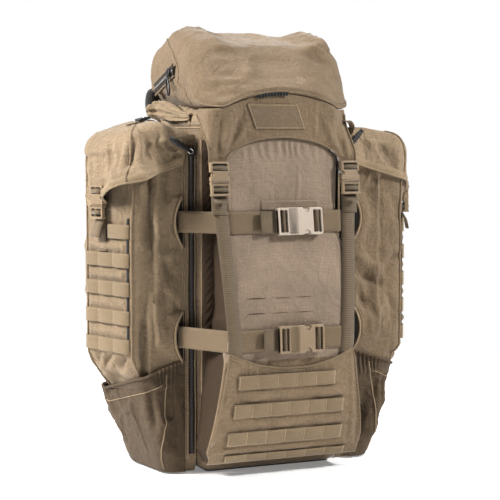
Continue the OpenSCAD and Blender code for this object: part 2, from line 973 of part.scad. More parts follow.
module pod_pocket() {
    loft(concat(
        [for (z = [pocket_foot, 14, 35, 60, 85, 110, 145]) pocket_section(pod_share(z), z)],
        [at_pocket_rim(pocket_section(pod_share(172), rim_z))]), ribbon = true);
}

module right_pod_pocket() {
    color(taupe)
        pod_pocket();
}

module left_pod_pocket() {
    color(taupe)
        mirror([1, 0, 0])
            pod_pocket();
}

// Outer face of a pod: X runs along it to the rear, -Y is out, Z is up
panel_turn = atan2(pod_d * 0.67, pod_splay);
module on_pod_face() {
    translate([pod_x, pod_front, 0])
        rotate([0, 0, panel_turn])
            children();
}

pod_face_l = norm([pod_splay, pod_d * 0.67]);
pod_rows = [for (i = [0:4]) pod_full_z + 19.5 + i * row_pitch];
flap_buckle_x = pod_face_l * 0.62;

module pod_webbing_rows() {
    color(webbing_tan)
        both_sides()
            on_pod_face()
                for (i = [0:4])
                    translate([19, -seat - web_t, pod_rows[i]])
                        cube([(i == 4 ? flap_buckle_x - 16 : pod_face_l - 20) - 19, web_t, web_narrow]);
}

// Zips that close the pods to the bag, on the inner edge of each pod's front face
side_zip_w = 16;
side_zip_x = pod_in + 1 + side_zip_w / 2;
side_zip_z = [34, pod_h - 14];

module side_zips() {
    l = side_zip_z[1] - side_zip_z[0];
    color(grey)
        both_sides()
            translate([side_zip_x, pod_front - seat, side_zip_z[0]]) {
                translate([-side_zip_w / 2, -zip_t, 0])
                    cube([side_zip_w, zip_t, l]);
                translate([-coil_w / 2, -zip_t - coil_t, 0])
                    cube([coil_w, zip_t + coil_t, l]);
            }
}

// Height of the side sliders when the zips are shut
side_slider_z = side_zip_z[1] - 12;

module right_zip_slider() {
    color(black)
        translate([side_zip_x, pod_front - seat - zip_t - coil_t, side_slider_z])
            zip_slider(14);
}

module left_zip_slider() {
    color(black)
        mirror([1, 0, 0])
            translate([side_zip_x, pod_front - seat - zip_t - coil_t, side_slider_z])
                zip_slider(14);
}

// Flap of a pod: a cap whose skirt hangs lowest at the buckle
skirt_gap = 3;
skirt_t = 3;
flap_hinge_x = pod_in + 3;
flap_z = pod_h + seat;
flap_h = 26;
skirt_start = pod_in + 20;

// Plan of the flap moved out by d, from x on, open beside the side zip
function flap_ring(d, x = flap_hinge_x) =
    let (p = pod_moved(1, d))
    concat(
        [[x, p[0].y], [skirt_start, p[0].y], [skirt_start + 2, p[0].y]],
        [for (q = rounded(p, moved_radii(d))) if (q.x > pod_in + 1) q],
        [[x, p[4].y]]);

// Rolled seam that the flap turns on, and how far the flap opens
flap_seam_r = 1.2;
flap_axis_x = bag_side + seat + flap_seam_r;
flap_axis_z = flap_z + 2.4;
flap_open = 50;

// Inner edge of the flap's crown, far enough out to clear the bag when it is open
function flap_turn_x(share) =
    flap_hinge_x + 4 + (flap_h * share - 2) * sin(flap_open) / cos(flap_open);

// Height of the skirt's edge at a point of the plan
skirt_z = pod_h - 44;
function skirt_edge(p) =
    let (
        slant = skirt_z - 0.33 * (min(p.x, pod_x) - skirt_start),
        t = (p.y - pod_front - pod_d * 0.56) / (pod_d * 0.42)
    )
    p.x < skirt_start + 1 ? flap_z - rim_drop(p.x) - 0.02
        : slant - 48 * max(0, 1 - t * t);

module flap() {
    inner = flap_ring(skirt_gap, flap_hinge_x + skirt_t);
    outer = flap_ring(skirt_gap + skirt_t);
    loft([
        at_rim(flap_ring(-30, flap_turn_x(1)), flap_z + flap_h),
        at_rim(flap_ring(-14, flap_turn_x(0.9)), flap_z + flap_h * 0.9),
        at_rim(flap_ring(0, flap_turn_x(0.55)), flap_z + flap_h * 0.55),
        at_rim(outer, flap_z + 5),
        [for (p = outer) [p.x, p.y, skirt_edge(p)]],
        [for (p = inner) [p.x, p.y, skirt_edge(p)]],
        at_rim(inner, flap_z + 2)]);
}

module right_flap() {
    color(tan)
        flap();
}

module left_flap() {
    color(light_tan)
        mirror([1, 0, 0])
            flap();
}

// Buckles of the flaps, female half upwards on the outer face
flap_mouth_z = skirt_z - 74;
flap_face = skirt_gap + skirt_t + seat;

module on_flap_buckle() {
    on_pod_face()
        translate([flap_buckle_x, -flap_face, flap_mouth_z])
            rotate([0, -90, 0])
                rotate([90, 0, 0])
                    children();
}

module right_flap_buckle_female() {
    color(plastic_tan)
        on_flap_buckle()
            buckle_female(web_narrow);
}

module left_flap_buckle_female() {
    color(plastic_tan)
        mirror([1, 0, 0])
            on_flap_buckle()
                buckle_female(web_narrow);
}

module right_flap_buckle_male() {
    color(plastic_tan)
        on_flap_buckle()
            buckle_male(web_narrow);
}

module left_flap_buckle_male() {
    color(plastic_tan)
        mirror([1, 0, 0])
            on_flap_buckle()
                buckle_male(web_narrow);
}

// Short straps on the pods that carry the male halves
module flap_straps() {
    foot = pod_rows[3] + web_narrow + 1;
    out = flap_face - seat - web_t / 2;
    in = seat + web_t / 2;
    color(black)
        both_sides()
            on_pod_face()
                strip_yz([[-in, foot], [-in, foot + 8], [-out, flap_mouth_z - 24],
                    [-out, flap_mouth_z - 8]], web_t, flap_buckle_x, web_narrow);
}

// The lid

// Rolled seams that the lid and the flaps turn on
lid_hinge_y = bag_back + seat + web_t / 2;
lid_hinge_z = lid_z - 2.4;
seam_r = 2;

module hinge_seams() {
    color(tan) {
        for (x = [-1, 1])
            strip_yz([[lid_hinge_y, bag_h - 26], [lid_hinge_y, lid_hinge_z]], web_t, x * 104, 44);
        translate([-bag_side + 8, lid_hinge_y, lid_hinge_z])
            rotate([0, 90, 0])
                cylinder(h = bag_w - 16, r = seam_r);
        for (x = [-flap_axis_x, flap_axis_x])
            translate([x, pod_rear - 12, flap_axis_z])
                rotate([90, 0, 0])
                    cylinder(h = pod_d - 24, r = flap_seam_r);
    }
}

// Corners of the lid's side in Y and Z at a place across the pack, counter-clockwise
lid_front = bag_front - pocket_top_d - 14;
lid_back = bag_back + 8;
lid_end = lid_w / 2;
lid_corner_in = 22;

function lid_corners(x) =
    let (
        arch = lid_arch * max(0, 1 - pow(x / 112, 2)),
        dip = -14 * max(0, 1 - pow(x / 96, 2)),
        front = lid_front + lid_corner_in * pow(max(0, abs(x) - lid_end * 0.6) / (lid_end * 0.4), 2),
        top = lid_z + lid_h
    )
    [[front, lid_z + arch], [lid_back - 6, lid_z + 0.4], [lid_back, lid_z + lid_h * 0.78],
     [bag_back * 0.42, top + 4 + dip], [front + 100, lid_z + lid_h * 0.84 + dip]];

function lid_section(x, d) =
    rounded(drawn_in(lid_corners(x), d), [6, 12, 40, 44, 70] - [1, 4, 4, 4, 4] * d / 4);

module lid_pocket() {
    half = [[0, 0], [28, 0], [56, 0], [84, 0], [112, 0], [lid_end - 14, 0], [lid_end - 4, 3], [lid_end, 9]];
    k = len(half) - 1;
    steps = concat(
        [for (i = [k:-1:1]) [-half[i][0], half[i][1]]],
        half);
    color(tan)
        loft([for (s = steps) at_x(lid_section(s[0], s[1]), s[0])]);
}

// Apron below the lid's front edge, with a tab for each buckle
tab_z = lid_mouth_z + female_l(web_narrow) - 5;
tab_w = web_narrow + 6;

function apron_edge(x) =
    let (inner = lid_strap_x - tab_w / 2)
    abs(x) > inner ? tab_z
        : tab_z + (apron_z - tab_z) * sqrt(1 - pow(x / (inner + 1), 2));

module lid_apron() {
    half = [0, 28, 56, 84, 100, lid_strap_x - tab_w / 2, lid_strap_x + tab_w / 2];
    k = len(half) - 1;
    stations = concat([for (i = [k:-1:1]) -half[i]], half);
    color(tan)
        loft([for (x = stations)
            at_x(front_layer(apron_edge(x),
                lid_z - 0.4 + lid_arch * max(0, 1 - pow(x / 112, 2)) * 0.93,
                layer_2, web_t, 5), x)], ribbon = true);
}

patch_w = 96;
patch_h = 44;
patch_t = 1.5;
// The patch is sewn on a little to the left of the middle
patch_x = -9;

module loop_patch() {
    z = apron_z + 14;
    color(taupe)
        translate([patch_x - patch_w / 2, 0, 0])
            rotate([90, 0, 90])
                linear_extrude(patch_w)
                    polygon(front_layer(z, z + patch_h, layer_3, patch_t));
}

// Zip across the left side of the lid, falling towards the rear
lid_zip_start = [-14, lid_z + lid_h * 0.47];
lid_zip_l = 104;
lid_zip_fall = 18;

module on_lid_side() {
    translate([-lid_end - seat, lid_zip_start.x, lid_zip_start.y])
        rotate([-lid_zip_fall, 0, 0])
            children();
}

module lid_zip() {
    color(grey)
        on_lid_side() {
            translate([-zip_t, 0, -zip_w / 2])
                cube([zip_t, lid_zip_l, zip_w]);
            translate([-zip_t - coil_t, 0, -coil_w / 2])
                cube([zip_t + coil_t, lid_zip_l, coil_w]);
        }
}

module lid_zip_slider() {
    color(black)
        on_lid_side()
            translate([-zip_t - coil_t, 12, 0])
                rotate([0, 0, -90])
                    zip_slider(180);
}

// Drawing

main_bag();
bag_collar();
base_panel();
frame_sheet();
frame_stays();
lumbar_pad();
back_pads();
left_shoulder_strap();
right_shoulder_strap();
shoulder_webbing();
shoulder_adjusters();
load_lifters();
haul_handle();
left_hip_wing();
right_hip_wing();
hip_webbing();
hip_buckle_female();
hip_buckle_male();
sternum_webbing();
sternum_buckle_female();
sternum_buckle_male();
front_pocket();
pocket_zip();
pocket_zip_slider();
lower_panel();
front_webbing_rows();
left_pod();
right_pod();
left_pod_pocket();
right_pod_pocket();
pod_webbing_rows();
side_zips();
left_zip_slider();
right_zip_slider();
left_flap();
right_flap();
left_flap_buckle_female();
right_flap_buckle_female();
left_flap_buckle_male();
right_flap_buckle_male();
flap_straps();
upper_strap();
lower_strap();
upper_buckle_female();
upper_buckle_male();
upper_strap_tail();
lower_buckle_female();
lower_buckle_male();
lower_strap_tail();
lid_straps();
left_lid_buckle_male();
right_lid_buckle_male();
hinge_seams();
lid_pocket();
lid_apron();
loop_patch();
lid_zip();
lid_zip_slider();
lid_buckle_females();
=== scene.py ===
"""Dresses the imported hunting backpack: cloth, webbing, zips, buckles and harness.

Lengths in the shape code are millimetres, in the frame of the part's source.
"""
import math

import bmesh
import bpy
import numpy as np
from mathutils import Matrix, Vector


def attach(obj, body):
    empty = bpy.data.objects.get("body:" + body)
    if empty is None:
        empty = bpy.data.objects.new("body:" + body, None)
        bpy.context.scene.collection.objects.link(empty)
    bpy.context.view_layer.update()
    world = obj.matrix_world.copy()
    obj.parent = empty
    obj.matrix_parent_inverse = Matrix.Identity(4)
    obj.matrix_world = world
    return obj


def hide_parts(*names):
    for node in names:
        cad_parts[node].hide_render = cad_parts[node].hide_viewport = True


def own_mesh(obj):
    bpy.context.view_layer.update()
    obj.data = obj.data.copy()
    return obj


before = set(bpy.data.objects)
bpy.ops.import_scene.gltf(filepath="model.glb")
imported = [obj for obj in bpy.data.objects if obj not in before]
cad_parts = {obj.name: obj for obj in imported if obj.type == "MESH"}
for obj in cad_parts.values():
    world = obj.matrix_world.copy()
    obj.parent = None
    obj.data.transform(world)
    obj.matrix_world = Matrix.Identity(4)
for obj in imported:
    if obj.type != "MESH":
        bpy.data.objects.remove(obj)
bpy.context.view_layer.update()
MM = 0.001

# Sizes of the part's source

BAG_FRONT, BAG_BACK, BAG_SIDE, BAG_H = -120.0, 120.0, 140.0, 620.0
POD_IN, POD_FRONT, POD_REAR = 140.3, -98.0, 78.0
POD_W, POD_D, POD_H, POD_SPLAY = 165.0, 176.0, 600.0, 43.0
LID_Z, LID_H, LID_END, LID_ARCH = 651.0, 150.0, 150.0, 28.0
LID_FRONT, LID_BACK = -172.0, 128.0
SEAT, WEB_T = 0.3, 2.0
NARROW, WIDE, BELT = 25.0, 38.0, 50.0
LAYER_1, LAYER_2, LAYER_3 = 0.3, 2.6, 4.9
UPPER_Z, LOWER_Z = 452.0, 247.0
UPPER_MOUTH, LOWER_MOUTH = 16.0, 8.0
LID_MOUTH_Z, LID_STRAP_X, LID_STRAP_FOOT = 524.0, 126.0, 106.0
APRON_Z, PANEL_TOP, PANEL_FOOT = 601.0, 226.0, 28.0
ROW_PITCH = 50.8
RIM_FALL = 0.2
SIDE_ZIP_X = 149.3
TACK_PITCH = 38.1
BAG_R = 26.0
LID_ARCH_HALF = 112.0
SIDES = (("left", -1), ("right", 1))


# Noise and numbers

def lattice(i, seed):
    """A fixed value from -1 to 1 for each whole-number place."""
    h = i[..., 0] * 374761393 + i[..., 1] * 668265263 + i[..., 2] * 1442695041 + seed * 974711
    h = (h ^ (h >> 13)) & 0xFFFFFFFF
    h = (h * 1274126177) & 0xFFFFFFFF
    h = h ^ (h >> 16)
    return (h & 0xFFFF) / 32767.5 - 1.0


def noise(p, seed=0):
    """Smooth noise from -1 to 1 at points p."""
    cell = np.floor(p).astype(np.int64)
    f = p - cell
    w = f * f * f * (f * (f * 6 - 15) + 10)
    value = np.zeros(p.shape[:-1])
    for corner in np.ndindex(2, 2, 2):
        share = np.ones(p.shape[:-1])
        for axis in range(3):
            share = share * (w[..., axis] if corner[axis] else 1 - w[..., axis])
        value += share * lattice(cell + np.array(corner), seed)
    return value


def step(x, a, b):
    """Smooth step from 0 at a to 1 at b."""
    t = np.clip((np.asarray(x, float) - a) / (b - a), 0, 1)
    return t * t * (3 - 2 * t)


def hump(x, a, b):
    """1 in the middle between a and b, 0 outside."""
    t = np.clip((np.asarray(x, float) - a) / (b - a), 0, 1)
    return np.sin(np.pi * t) ** 2


def unit(v):
    """Vectors of length 1 along v."""
    return v / np.maximum(np.linalg.norm(v, axis=-1, keepdims=True), 1e-9)


def lengths(path):
    """The length run along a path at each of its points."""
    return np.concatenate([[0], np.cumsum(np.linalg.norm(np.diff(path, axis=0), axis=1))])


def line_of(x, y, z):
    """Points from their coordinates, each an array or one value for all."""
    return np.stack(np.broadcast_arrays(*(np.asarray(v, float) for v in (x, y, z))), -1)


def srgb(r, g, b):
    """Linear colour from screen values of 0 to 255."""
    def one(c):
        c = c / 255
        return c / 12.92 if c <= 0.04045 else ((c + 0.055) / 1.055) ** 2.4
    return (one(r), one(g), one(b), 1.0)


# Materials

WAVE_UNIT = 0.314159


def new_material(name, rough, sheen=0.0, specular=0.5, metal=0.0):
    mat = bpy.data.materials.new(name)
    mat.use_nodes = True
    shader = mat.node_tree.nodes["Principled BSDF"]
    for key, value in (("Roughness", rough), ("Sheen Weight", sheen), ("Sheen Roughness", 0.5),
                       ("Specular IOR Level", specular), ("Metallic", metal)):
        shader.inputs[key].default_value = value
    return mat, mat.node_tree, shader


def node(tree, kind, **values):
    """A new node; a key that starts with in_ sets that input, or links a socket to it."""
    n = tree.nodes.new(kind)
    for key, value in values.items():
        if not key.startswith("in_"):
            setattr(n, key, value)
            continue
        slot = key[3:].replace("_", " ")
        target = n.inputs[int(slot) if slot.isdigit() else slot]
        if isinstance(value, bpy.types.NodeSocket):
            tree.links.new(value, target)
        else:
            target.default_value = value
    return n


def mix(tree, fac, a, b, blend="MIX"):
    """Mixes two colours; each of fac, a and b is a value or a socket."""
    return node(tree, "ShaderNodeMix", data_type="RGBA", blend_type=blend, in_0=fac, in_6=a,
                in_7=b).outputs[2]


def math_node(tree, operation, a, b=0.0):
    return node(tree, "ShaderNodeMath", operation=operation, in_0=a, in_1=b).outputs[0]


def ramp(tree, socket, low, high, dark=0.0, light=1.0):
    return node(tree, "ShaderNodeMapRange", in_0=socket, in_1=low, in_2=high, in_3=dark,
                in_4=light).outputs[0]


def coordinates(tree, kind="Object"):
    return node(tree, "ShaderNodeTexCoord").outputs[kind]


def speckle(tree, where, scale, detail, rough=0.5, distortion=0.0):
    return node(tree, "ShaderNodeTexNoise", in_Vector=where, in_Scale=scale, in_Detail=detail,
                in_Roughness=rough, in_Distortion=distortion).outputs["Fac"]


def wave(tree, vector, pitch, direction, distortion=0.0):
    """Bands that repeat every pitch, in mm."""
    return node(tree, "ShaderNodeTexWave", bands_direction=direction, in_Vector=vector,
                in_Scale=WAVE_UNIT / (pitch * MM), in_Distortion=distortion, in_Detail=1.0).outputs["Fac"]


def shade(colour, k):
    return (colour[0] * k, colour[1] * k, colour[2] * k, 1.0)


def cloth_colour(tree, colour, blotch, grain_size, grain):
    """Colour with slow blotches, fine grain, wear along raised edges and painted shade in hollows; also the
    grain itself.
    """
    where = coordinates(tree)
    slow = speckle(tree, where, 11.0, 4.0, 0.6)
    fine = speckle(tree, where, grain_size, 2.0, 0.7)
    middle = speckle(tree, where, 210.0, 3.0, 0.75)
    base = mix(tree, ramp(tree, slow, 0.3, 0.7), shade(colour, 1 - blotch), shade(colour, 1 + blotch))
    speck = math_node(tree, "MULTIPLY", ramp(tree, fine, 0.25, 0.75, 1 - grain, 1 + grain),
                      ramp(tree, middle, 0.3, 0.7, 1 - grain * 0.7, 1 + grain * 0.7))
    grey = node(tree, "ShaderNodeCombineColor", in_0=speck, in_1=speck, in_2=speck)
    base = mix(tree, 1.0, base, grey.outputs[0], "MULTIPLY")
    streak = node(tree, "ShaderNodeMapping", in_Vector=where, in_Scale=(45.0, 45.0, 850.0))
    slub = speckle(tree, streak.outputs[0], 1.0, 2.0, 0.6)
    base = mix(tree, ramp(tree, slub, 0.35, 0.7, 0.0, grain * 1.3), base, shade(colour, 0.55))
    edge = node(tree, "ShaderNodeNewGeometry").outputs["Pointiness"]
    # Painted shade: hollows and creases, found by pointiness, are darkened
    base = mix(tree, ramp(tree, edge, 0.40, 0.488, 0.6, 0.0), base, shade(colour, 0.30))
    return mix(tree, ramp(tree, edge, 0.52, 0.62, 0.0, 0.35), base, shade(colour, 1.5)), fine


def surface(tree, shader, colour, height, strength, distance, crease=0.0):
    """Colour, and fine relief over soft creases; crease is the depth of these in metres."""
    tree.links.new(colour, shader.inputs["Base Color"])
    n = node(tree, "ShaderNodeBump", in_Height=height, in_Strength=strength, in_Distance=distance)
    tree.links.new(n.outputs[0], shader.inputs["Normal"])
    if crease:
        soft = speckle(tree, coordinates(tree), 34.0, 4.0, 0.55, 1.6)
        under = node(tree, "ShaderNodeBump", in_Height=soft, in_Strength=0.5, in_Distance=crease)
        tree.links.new(under.outputs[0], n.inputs["Normal"])


def fabric(name, colour, ripstop=0.0, weave=1.3, blotch=0.13, grain=0.25, sheen=0.12, crease=0.0):
    """Woven coated cloth; ripstop is the mesh of its thicker threads, in mm."""
    mat, tree, shader = new_material(name, 0.82, sheen, 0.25)
    base, fine = cloth_colour(tree, colour, blotch, 620.0, grain)
    uv = coordinates(tree, "UV")
    threads = math_node(tree, "MULTIPLY", wave(tree, uv, weave, "X"), wave(tree, uv, weave, "Y"))
    height = math_node(tree, "ADD", threads, math_node(tree, "MULTIPLY", fine, 0.6))
    base = mix(tree, ramp(tree, threads, 0.0, 1.0, 0.12, 0.0), base, shade(colour, 0.55))
    if ripstop:
        split = node(tree, "ShaderNodeSeparateXYZ", in_0=uv)
        lines = []
        for i in range(2):
            cell = math_node(tree, "MULTIPLY", split.outputs[i], 1 / (ripstop * MM))
            lines.append(math_node(tree, "LESS_THAN", math_node(tree, "FRACT", cell), 0.16))
        line = math_node(tree, "MAXIMUM", *lines)
        base = mix(tree, math_node(tree, "MULTIPLY", line, 0.35), base, shade(colour, 0.72))
        height = math_node(tree, "ADD", height, line)
    surface(tree, shader, base, height, 0.45, 0.0007, crease)
    return mat


def webbing(name, colour, rib=2.2, twill=0.0):
    """Ribbed webbing: U runs along it, V across."""
    mat, tree, shader = new_material(name, 0.75, 0.15, 0.3)
    base = cloth_colour(tree, colour, 0.07, 800.0, 0.14)[0]
    uv = coordinates(tree, "UV")
    turned = node(tree, "ShaderNodeMapping", in_Vector=uv, in_Rotation=(0, 0, twill))
    ribs = wave(tree, turned.outputs[0], rib, "X", 0.4)
    height = math_node(tree, "ADD", ribs, math_node(tree, "MULTIPLY", wave(tree, uv, 1.6, "Y"), 0.35))
    base = mix(tree, ramp(tree, ribs, 0.0, 0.7, 0.55, 0.0), base, shade(colour, 0.40))
    surface(tree, shader, base, height, 0.5, 0.0006)
    return mat


def plastic(name, colour, rough=0.42, wear=1.5):
    """Moulded plastic with a faint grain, scuffs and rubbed edges."""
    mat, tree, shader = new_material(name, rough)
    base, fine = cloth_colour(tree, colour, 0.05, 1400.0, 0.04)
    scuff = speckle(tree, coordinates(tree), 160.0, 6.0, 0.75)
    base = mix(tree, ramp(tree, scuff, 0.58, 0.75, 0.0, 0.25), base, shade(colour, wear))
    tree.links.new(ramp(tree, scuff, 0.3, 0.7, rough - 0.08, rough + 0.12), shader.inputs["Roughness"])
    surface(tree, shader, base, fine, 0.12, 0.0003)
    return mat


def spacer_mesh(name, colour):
    """Open knitted mesh over foam."""
    mat, tree, shader = new_material(name, 0.9, 0.25, 0.2)
    base = cloth_colour(tree, colour, 0.10, 500.0, 0.2)[0]
    holes = node(tree, "ShaderNodeTexVoronoi", in_Vector=coordinates(tree), in_Scale=260.0,
                 in_Randomness=0.15)
    pit = ramp(tree, holes.outputs["Distance"], 0.2, 0.45)
    surface(tree, shader, mix(tree, pit, shade(colour, 0.35), base), pit, 0.7, 0.0012)
    return mat


def metal(name, colour, rough):
    mat, tree, shader = new_material(name, rough, metal=1.0)
    haze = speckle(tree, coordinates(tree), 300.0, 4.0)
    tree.links.new(ramp(tree, haze, 0.3, 0.7, rough, rough + 0.2), shader.inputs["Roughness"])
    tree.links.new(mix(tree, haze, shade(colour, 0.75), colour), shader.inputs["Base Color"])
    return mat


def pile(name, colour):
    """Looped pile of a hook-and-loop patch."""
    mat, tree, shader = new_material(name, 0.95, 0.4, 0.1)
    base, fine = cloth_colour(tree, colour, 0.12, 900.0, 0.3)
    surface(tree, shader, base, fine, 0.9, 0.0015)
    return mat


TAN = srgb(118, 99, 76)
MAT = {
    "tan": fabric("tan_cloth", TAN, weave=1.5, crease=0.012),
    "light": fabric("light_tan_cloth", srgb(129, 110, 86), weave=1.5, crease=0.012),
    "flap": fabric("flap_cloth", srgb(140, 120, 95), weave=1.5, crease=0.012),
    "cream": fabric("cream_cloth", srgb(142, 122, 96), weave=1.2, crease=0.008),
    "taupe": fabric("taupe_ripstop", srgb(136, 118, 100), ripstop=6.0, weave=0.9, blotch=0.2, grain=0.16,
                    crease=0.007),
    "stretch": fabric("stretch_cloth", srgb(80, 65, 48), weave=0.9, sheen=0.04, crease=0.012),
    "dark": fabric("dark_gusset_cloth", srgb(52, 38, 24), weave=1.2, sheen=0.0),
    "lining": fabric("black_lining", srgb(20, 18, 16), weave=1.0, sheen=0.02),
    "edge": fabric("seam_piping", srgb(116, 98, 75), weave=1.0),
    "binding": fabric("binding_tape", srgb(144, 124, 97), weave=1.0, grain=0.2),
    "web": webbing("tan_webbing", srgb(122, 103, 77), 3.4, 0.6),
    "strap": webbing("tan_strap_webbing", srgb(108, 91, 69), 4.0),
    "wide_web": webbing("tan_twill_webbing", srgb(108, 90, 67), 3.4, 0.6),
    "black_web": webbing("black_webbing", srgb(30, 28, 26)),
    "plastic": plastic("tan_plastic", srgb(130, 111, 87), 0.38, 1.25),
    # Painted highlight: a paler copy of the tan plastic, standing for the reflection on the upper front
    # buckle
    "painted_highlight_plastic": plastic("tan_plastic_painted_highlight", srgb(176, 162, 147), 0.34, 1.2),
    "black": plastic("black_plastic", srgb(28, 27, 27)),
    "mesh": spacer_mesh("black_mesh", srgb(48, 46, 43)),
    "zip_tape": fabric("zip_tape", srgb(52, 45, 38), weave=0.8, sheen=0.02),
    "coil": plastic("zip_coil", srgb(112, 107, 105), 0.35),
    "steel": metal("bright_metal", (0.78, 0.77, 0.75, 1.0), 0.18),
    "alloy": metal("stay_alloy", (0.70, 0.70, 0.71, 1.0), 0.35),
    "pile": pile("loop_pile", srgb(112, 94, 72)),
    "thread": fabric("thread", srgb(152, 131, 102), weave=0.6),
}


# Mesh making

def add(name, parts, mat, body, lining=None):
    """One object from parts, each (points, faces, UVs per face corner or None)."""
    points, faces, corners, start = [], [], [], 0
    for pts, fcs, uv in parts:
        points.append(np.asarray(pts, float).reshape(-1, 3))
        faces += [[i + start for i in f] for f in fcs]
        if uv is None:
            uv = [(0.0, 0.0)] * sum(len(f) for f in fcs)
        corners.append(np.asarray(uv, float).reshape(-1, 2))
        start += len(points[-1])
    mesh = bpy.data.meshes.new(name)
    mesh.from_pydata((np.concatenate(points) * MM).tolist(), [], faces)
    layer = mesh.uv_layers.new(name="cloth")
    layer.data.foreach_set("uv", (np.concatenate(corners) * MM).ravel())
    mesh.materials.append(MAT[mat])
    if lining:
        mesh.materials.append(MAT[lining])
    mesh.polygons.foreach_set("use_smooth", [True] * len(mesh.polygons))
    mesh.update()
    obj = bpy.data.objects.new(name, mesh)
    bpy.context.scene.collection.objects.link(obj)
    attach(obj, body)
    return obj


def sharp(obj, degrees=38):
    """Keeps edges crisp where faces meet at more than an angle."""
    obj.data.set_sharp_from_angle(angle=math.radians(degrees))
    return obj


def thicken(obj, t, lined=False):
    """Gives cloth its thickness, inwards; a lined one shows its second material inside."""
    mod = obj.modifiers.new("thickness", "SOLIDIFY")
    mod.thickness = t * MM
    mod.offset = -1.0
    mod.use_quality_normals = True
    if lined:
        mod.material_offset = 1
    return obj


def grid_normals(P, closed):
    """The normal at each point of a grid."""
    Q = np.concatenate([P[:, -1:], P, P[:, :1]], 1) if closed else P
    du = np.gradient(Q, axis=1)
    dv = np.gradient(Q, axis=0)
    n = unit(np.cross(du, dv))
    return n[:, 1:-1] if closed else n


def grid_part(P, closed=False, flip=False, caps=False):
    """(points, faces, UVs) of a grid of points, UVs in mm along both ways."""
    rows, cols = P.shape[:2]
    Q = np.concatenate([P, P[:, :1]], 1) if closed else P
    u = np.concatenate([np.zeros((rows, 1)),
                        np.cumsum(np.linalg.norm(np.diff(Q, axis=1), axis=-1), 1)], 1)
    u -= u[:, [u.shape[1] // 2]]
    v = np.concatenate([np.zeros((1, Q.shape[1])),
                        np.cumsum(np.linalg.norm(np.diff(Q, axis=0), axis=-1), 0)], 0)
    faces, uv = [], []
    for r in range(rows - 1):
        for c in range(Q.shape[1] - 1):
            quad = [(r, c), (r, c + 1), (r + 1, c + 1), (r + 1, c)]
            if flip:
                quad.reverse()
            faces.append([i * cols + j % cols for i, j in quad])
            uv += [(u[i, j], v[i, j]) for i, j in quad]
    if caps:
        for r, turn in ((0, not flip), (rows - 1, flip)):
            ring = [r * cols + c for c in range(cols)]
            faces.append(ring[::-1] if turn else ring)
            uv += [(0.0, 0.0)] * cols
    return P.reshape(-1, 3), faces, uv


class Cloth:
    """A grid of points with its outward side, shaped by pushes along the normal."""

    def __init__(self, P, inside, closed=False):
        self.P = np.array(P, float)
        self.closed = closed
        n = grid_normals(self.P, closed)
        away = self.P - np.asarray(inside, float)
        self.sign = 1.0 if (n * away).sum() > 0 else -1.0

    def normals(self):
        return grid_normals(self.P, self.closed) * self.sign

    def push(self, d):
        self.P += self.normals() * np.asarray(d, float)[..., None]

    def crumple(self, amp, size, seed, mask=1.0, stretch=(1, 1, 1)):
        """Soft waves with sharper creases between them."""
        q = self.P / size / np.array(stretch)
        soft = noise(q, seed) + 0.5 * noise(q * 2.1, seed + 1)
        crease = 1 - np.abs(noise(q * 1.4, seed + 2)) * 3
        self.push((soft * 0.6 + np.maximum(crease, 0) * 0.7) * amp * mask)

    def fold(self, points, width, depth):
        """A ridge, or a valley where depth is negative, along a line of points."""
        pts = np.asarray(points, float)
        best = np.full(self.P.shape[:2], 1e9)
        along = np.zeros(self.P.shape[:2])
        k = len(pts) - 1
        for i in range(k):
            a, b = pts[i], pts[i + 1]
            d = b - a
            t = np.clip(((self.P - a) @ d) / (d @ d), 0, 1)
            gap = np.linalg.norm(self.P - (a + t[..., None] * d), axis=-1)
            near = gap < best
            best = np.where(near, gap, best)
            along = np.where(near, (i + t) / k, along)
        fade = np.sin(np.pi * np.clip(along, 0.03, 0.97)) ** 0.5
        self.push(depth * np.exp(-(best / width) ** 2) * fade)

    def part(self, caps=False):
        return grid_part(self.P, self.closed, self.sign < 0, caps)

    def build(self, name, mat, body, t=0.0, lining=None, caps=False):
        obj = add(name, [self.part(caps)], mat, body, lining)
        if t:
            thicken(obj, t, lined=bool(lining))
        return obj


def tube_part(path, r, sides=8, closed=False, squash=1.0, up=None):
    """Tube along a path; squash flattens it along up."""
    path = np.asarray(path, float)
    n = len(path)
    if closed:
        tangent = np.roll(path, -1, 0) - np.roll(path, 1, 0)
    else:
        tangent = np.gradient(path, axis=0)
    tangent = unit(tangent)
    if up is None:
        ups = np.zeros_like(path)
        ref = np.array([0.0, 0.0, 1.0]) if abs(tangent[0][2]) < 0.9 else np.array([1.0, 0.0, 0.0])
        for i in range(n):
            ref = unit(ref - tangent[i] * (ref @ tangent[i]))
            ups[i] = ref
    else:
        ups = np.broadcast_to(np.asarray(up, float), path.shape)
        ups = unit(ups - tangent * (ups * tangent).sum(1, keepdims=True))
    across = np.cross(tangent, ups)
    radius = np.broadcast_to(np.asarray(r, float), (n,))
    ring = []
    for k in range(sides):
        a = 2 * math.pi * k / sides
        ring.append(path + (across * math.cos(a) + ups * math.sin(a) * squash) * radius[:, None])
    P = np.stack(ring, 1)
    if closed:
        P = np.concatenate([P, P[:1]], 0)
    return grid_part(P, True, True, not closed)


def band_uv(faces, along, across):
    """UVs of a band from its length at each row and the place across it of each point."""
    cols = across.shape[1]
    return [(along[i // cols], across[i // cols, i % cols]) for f in faces for i in f]


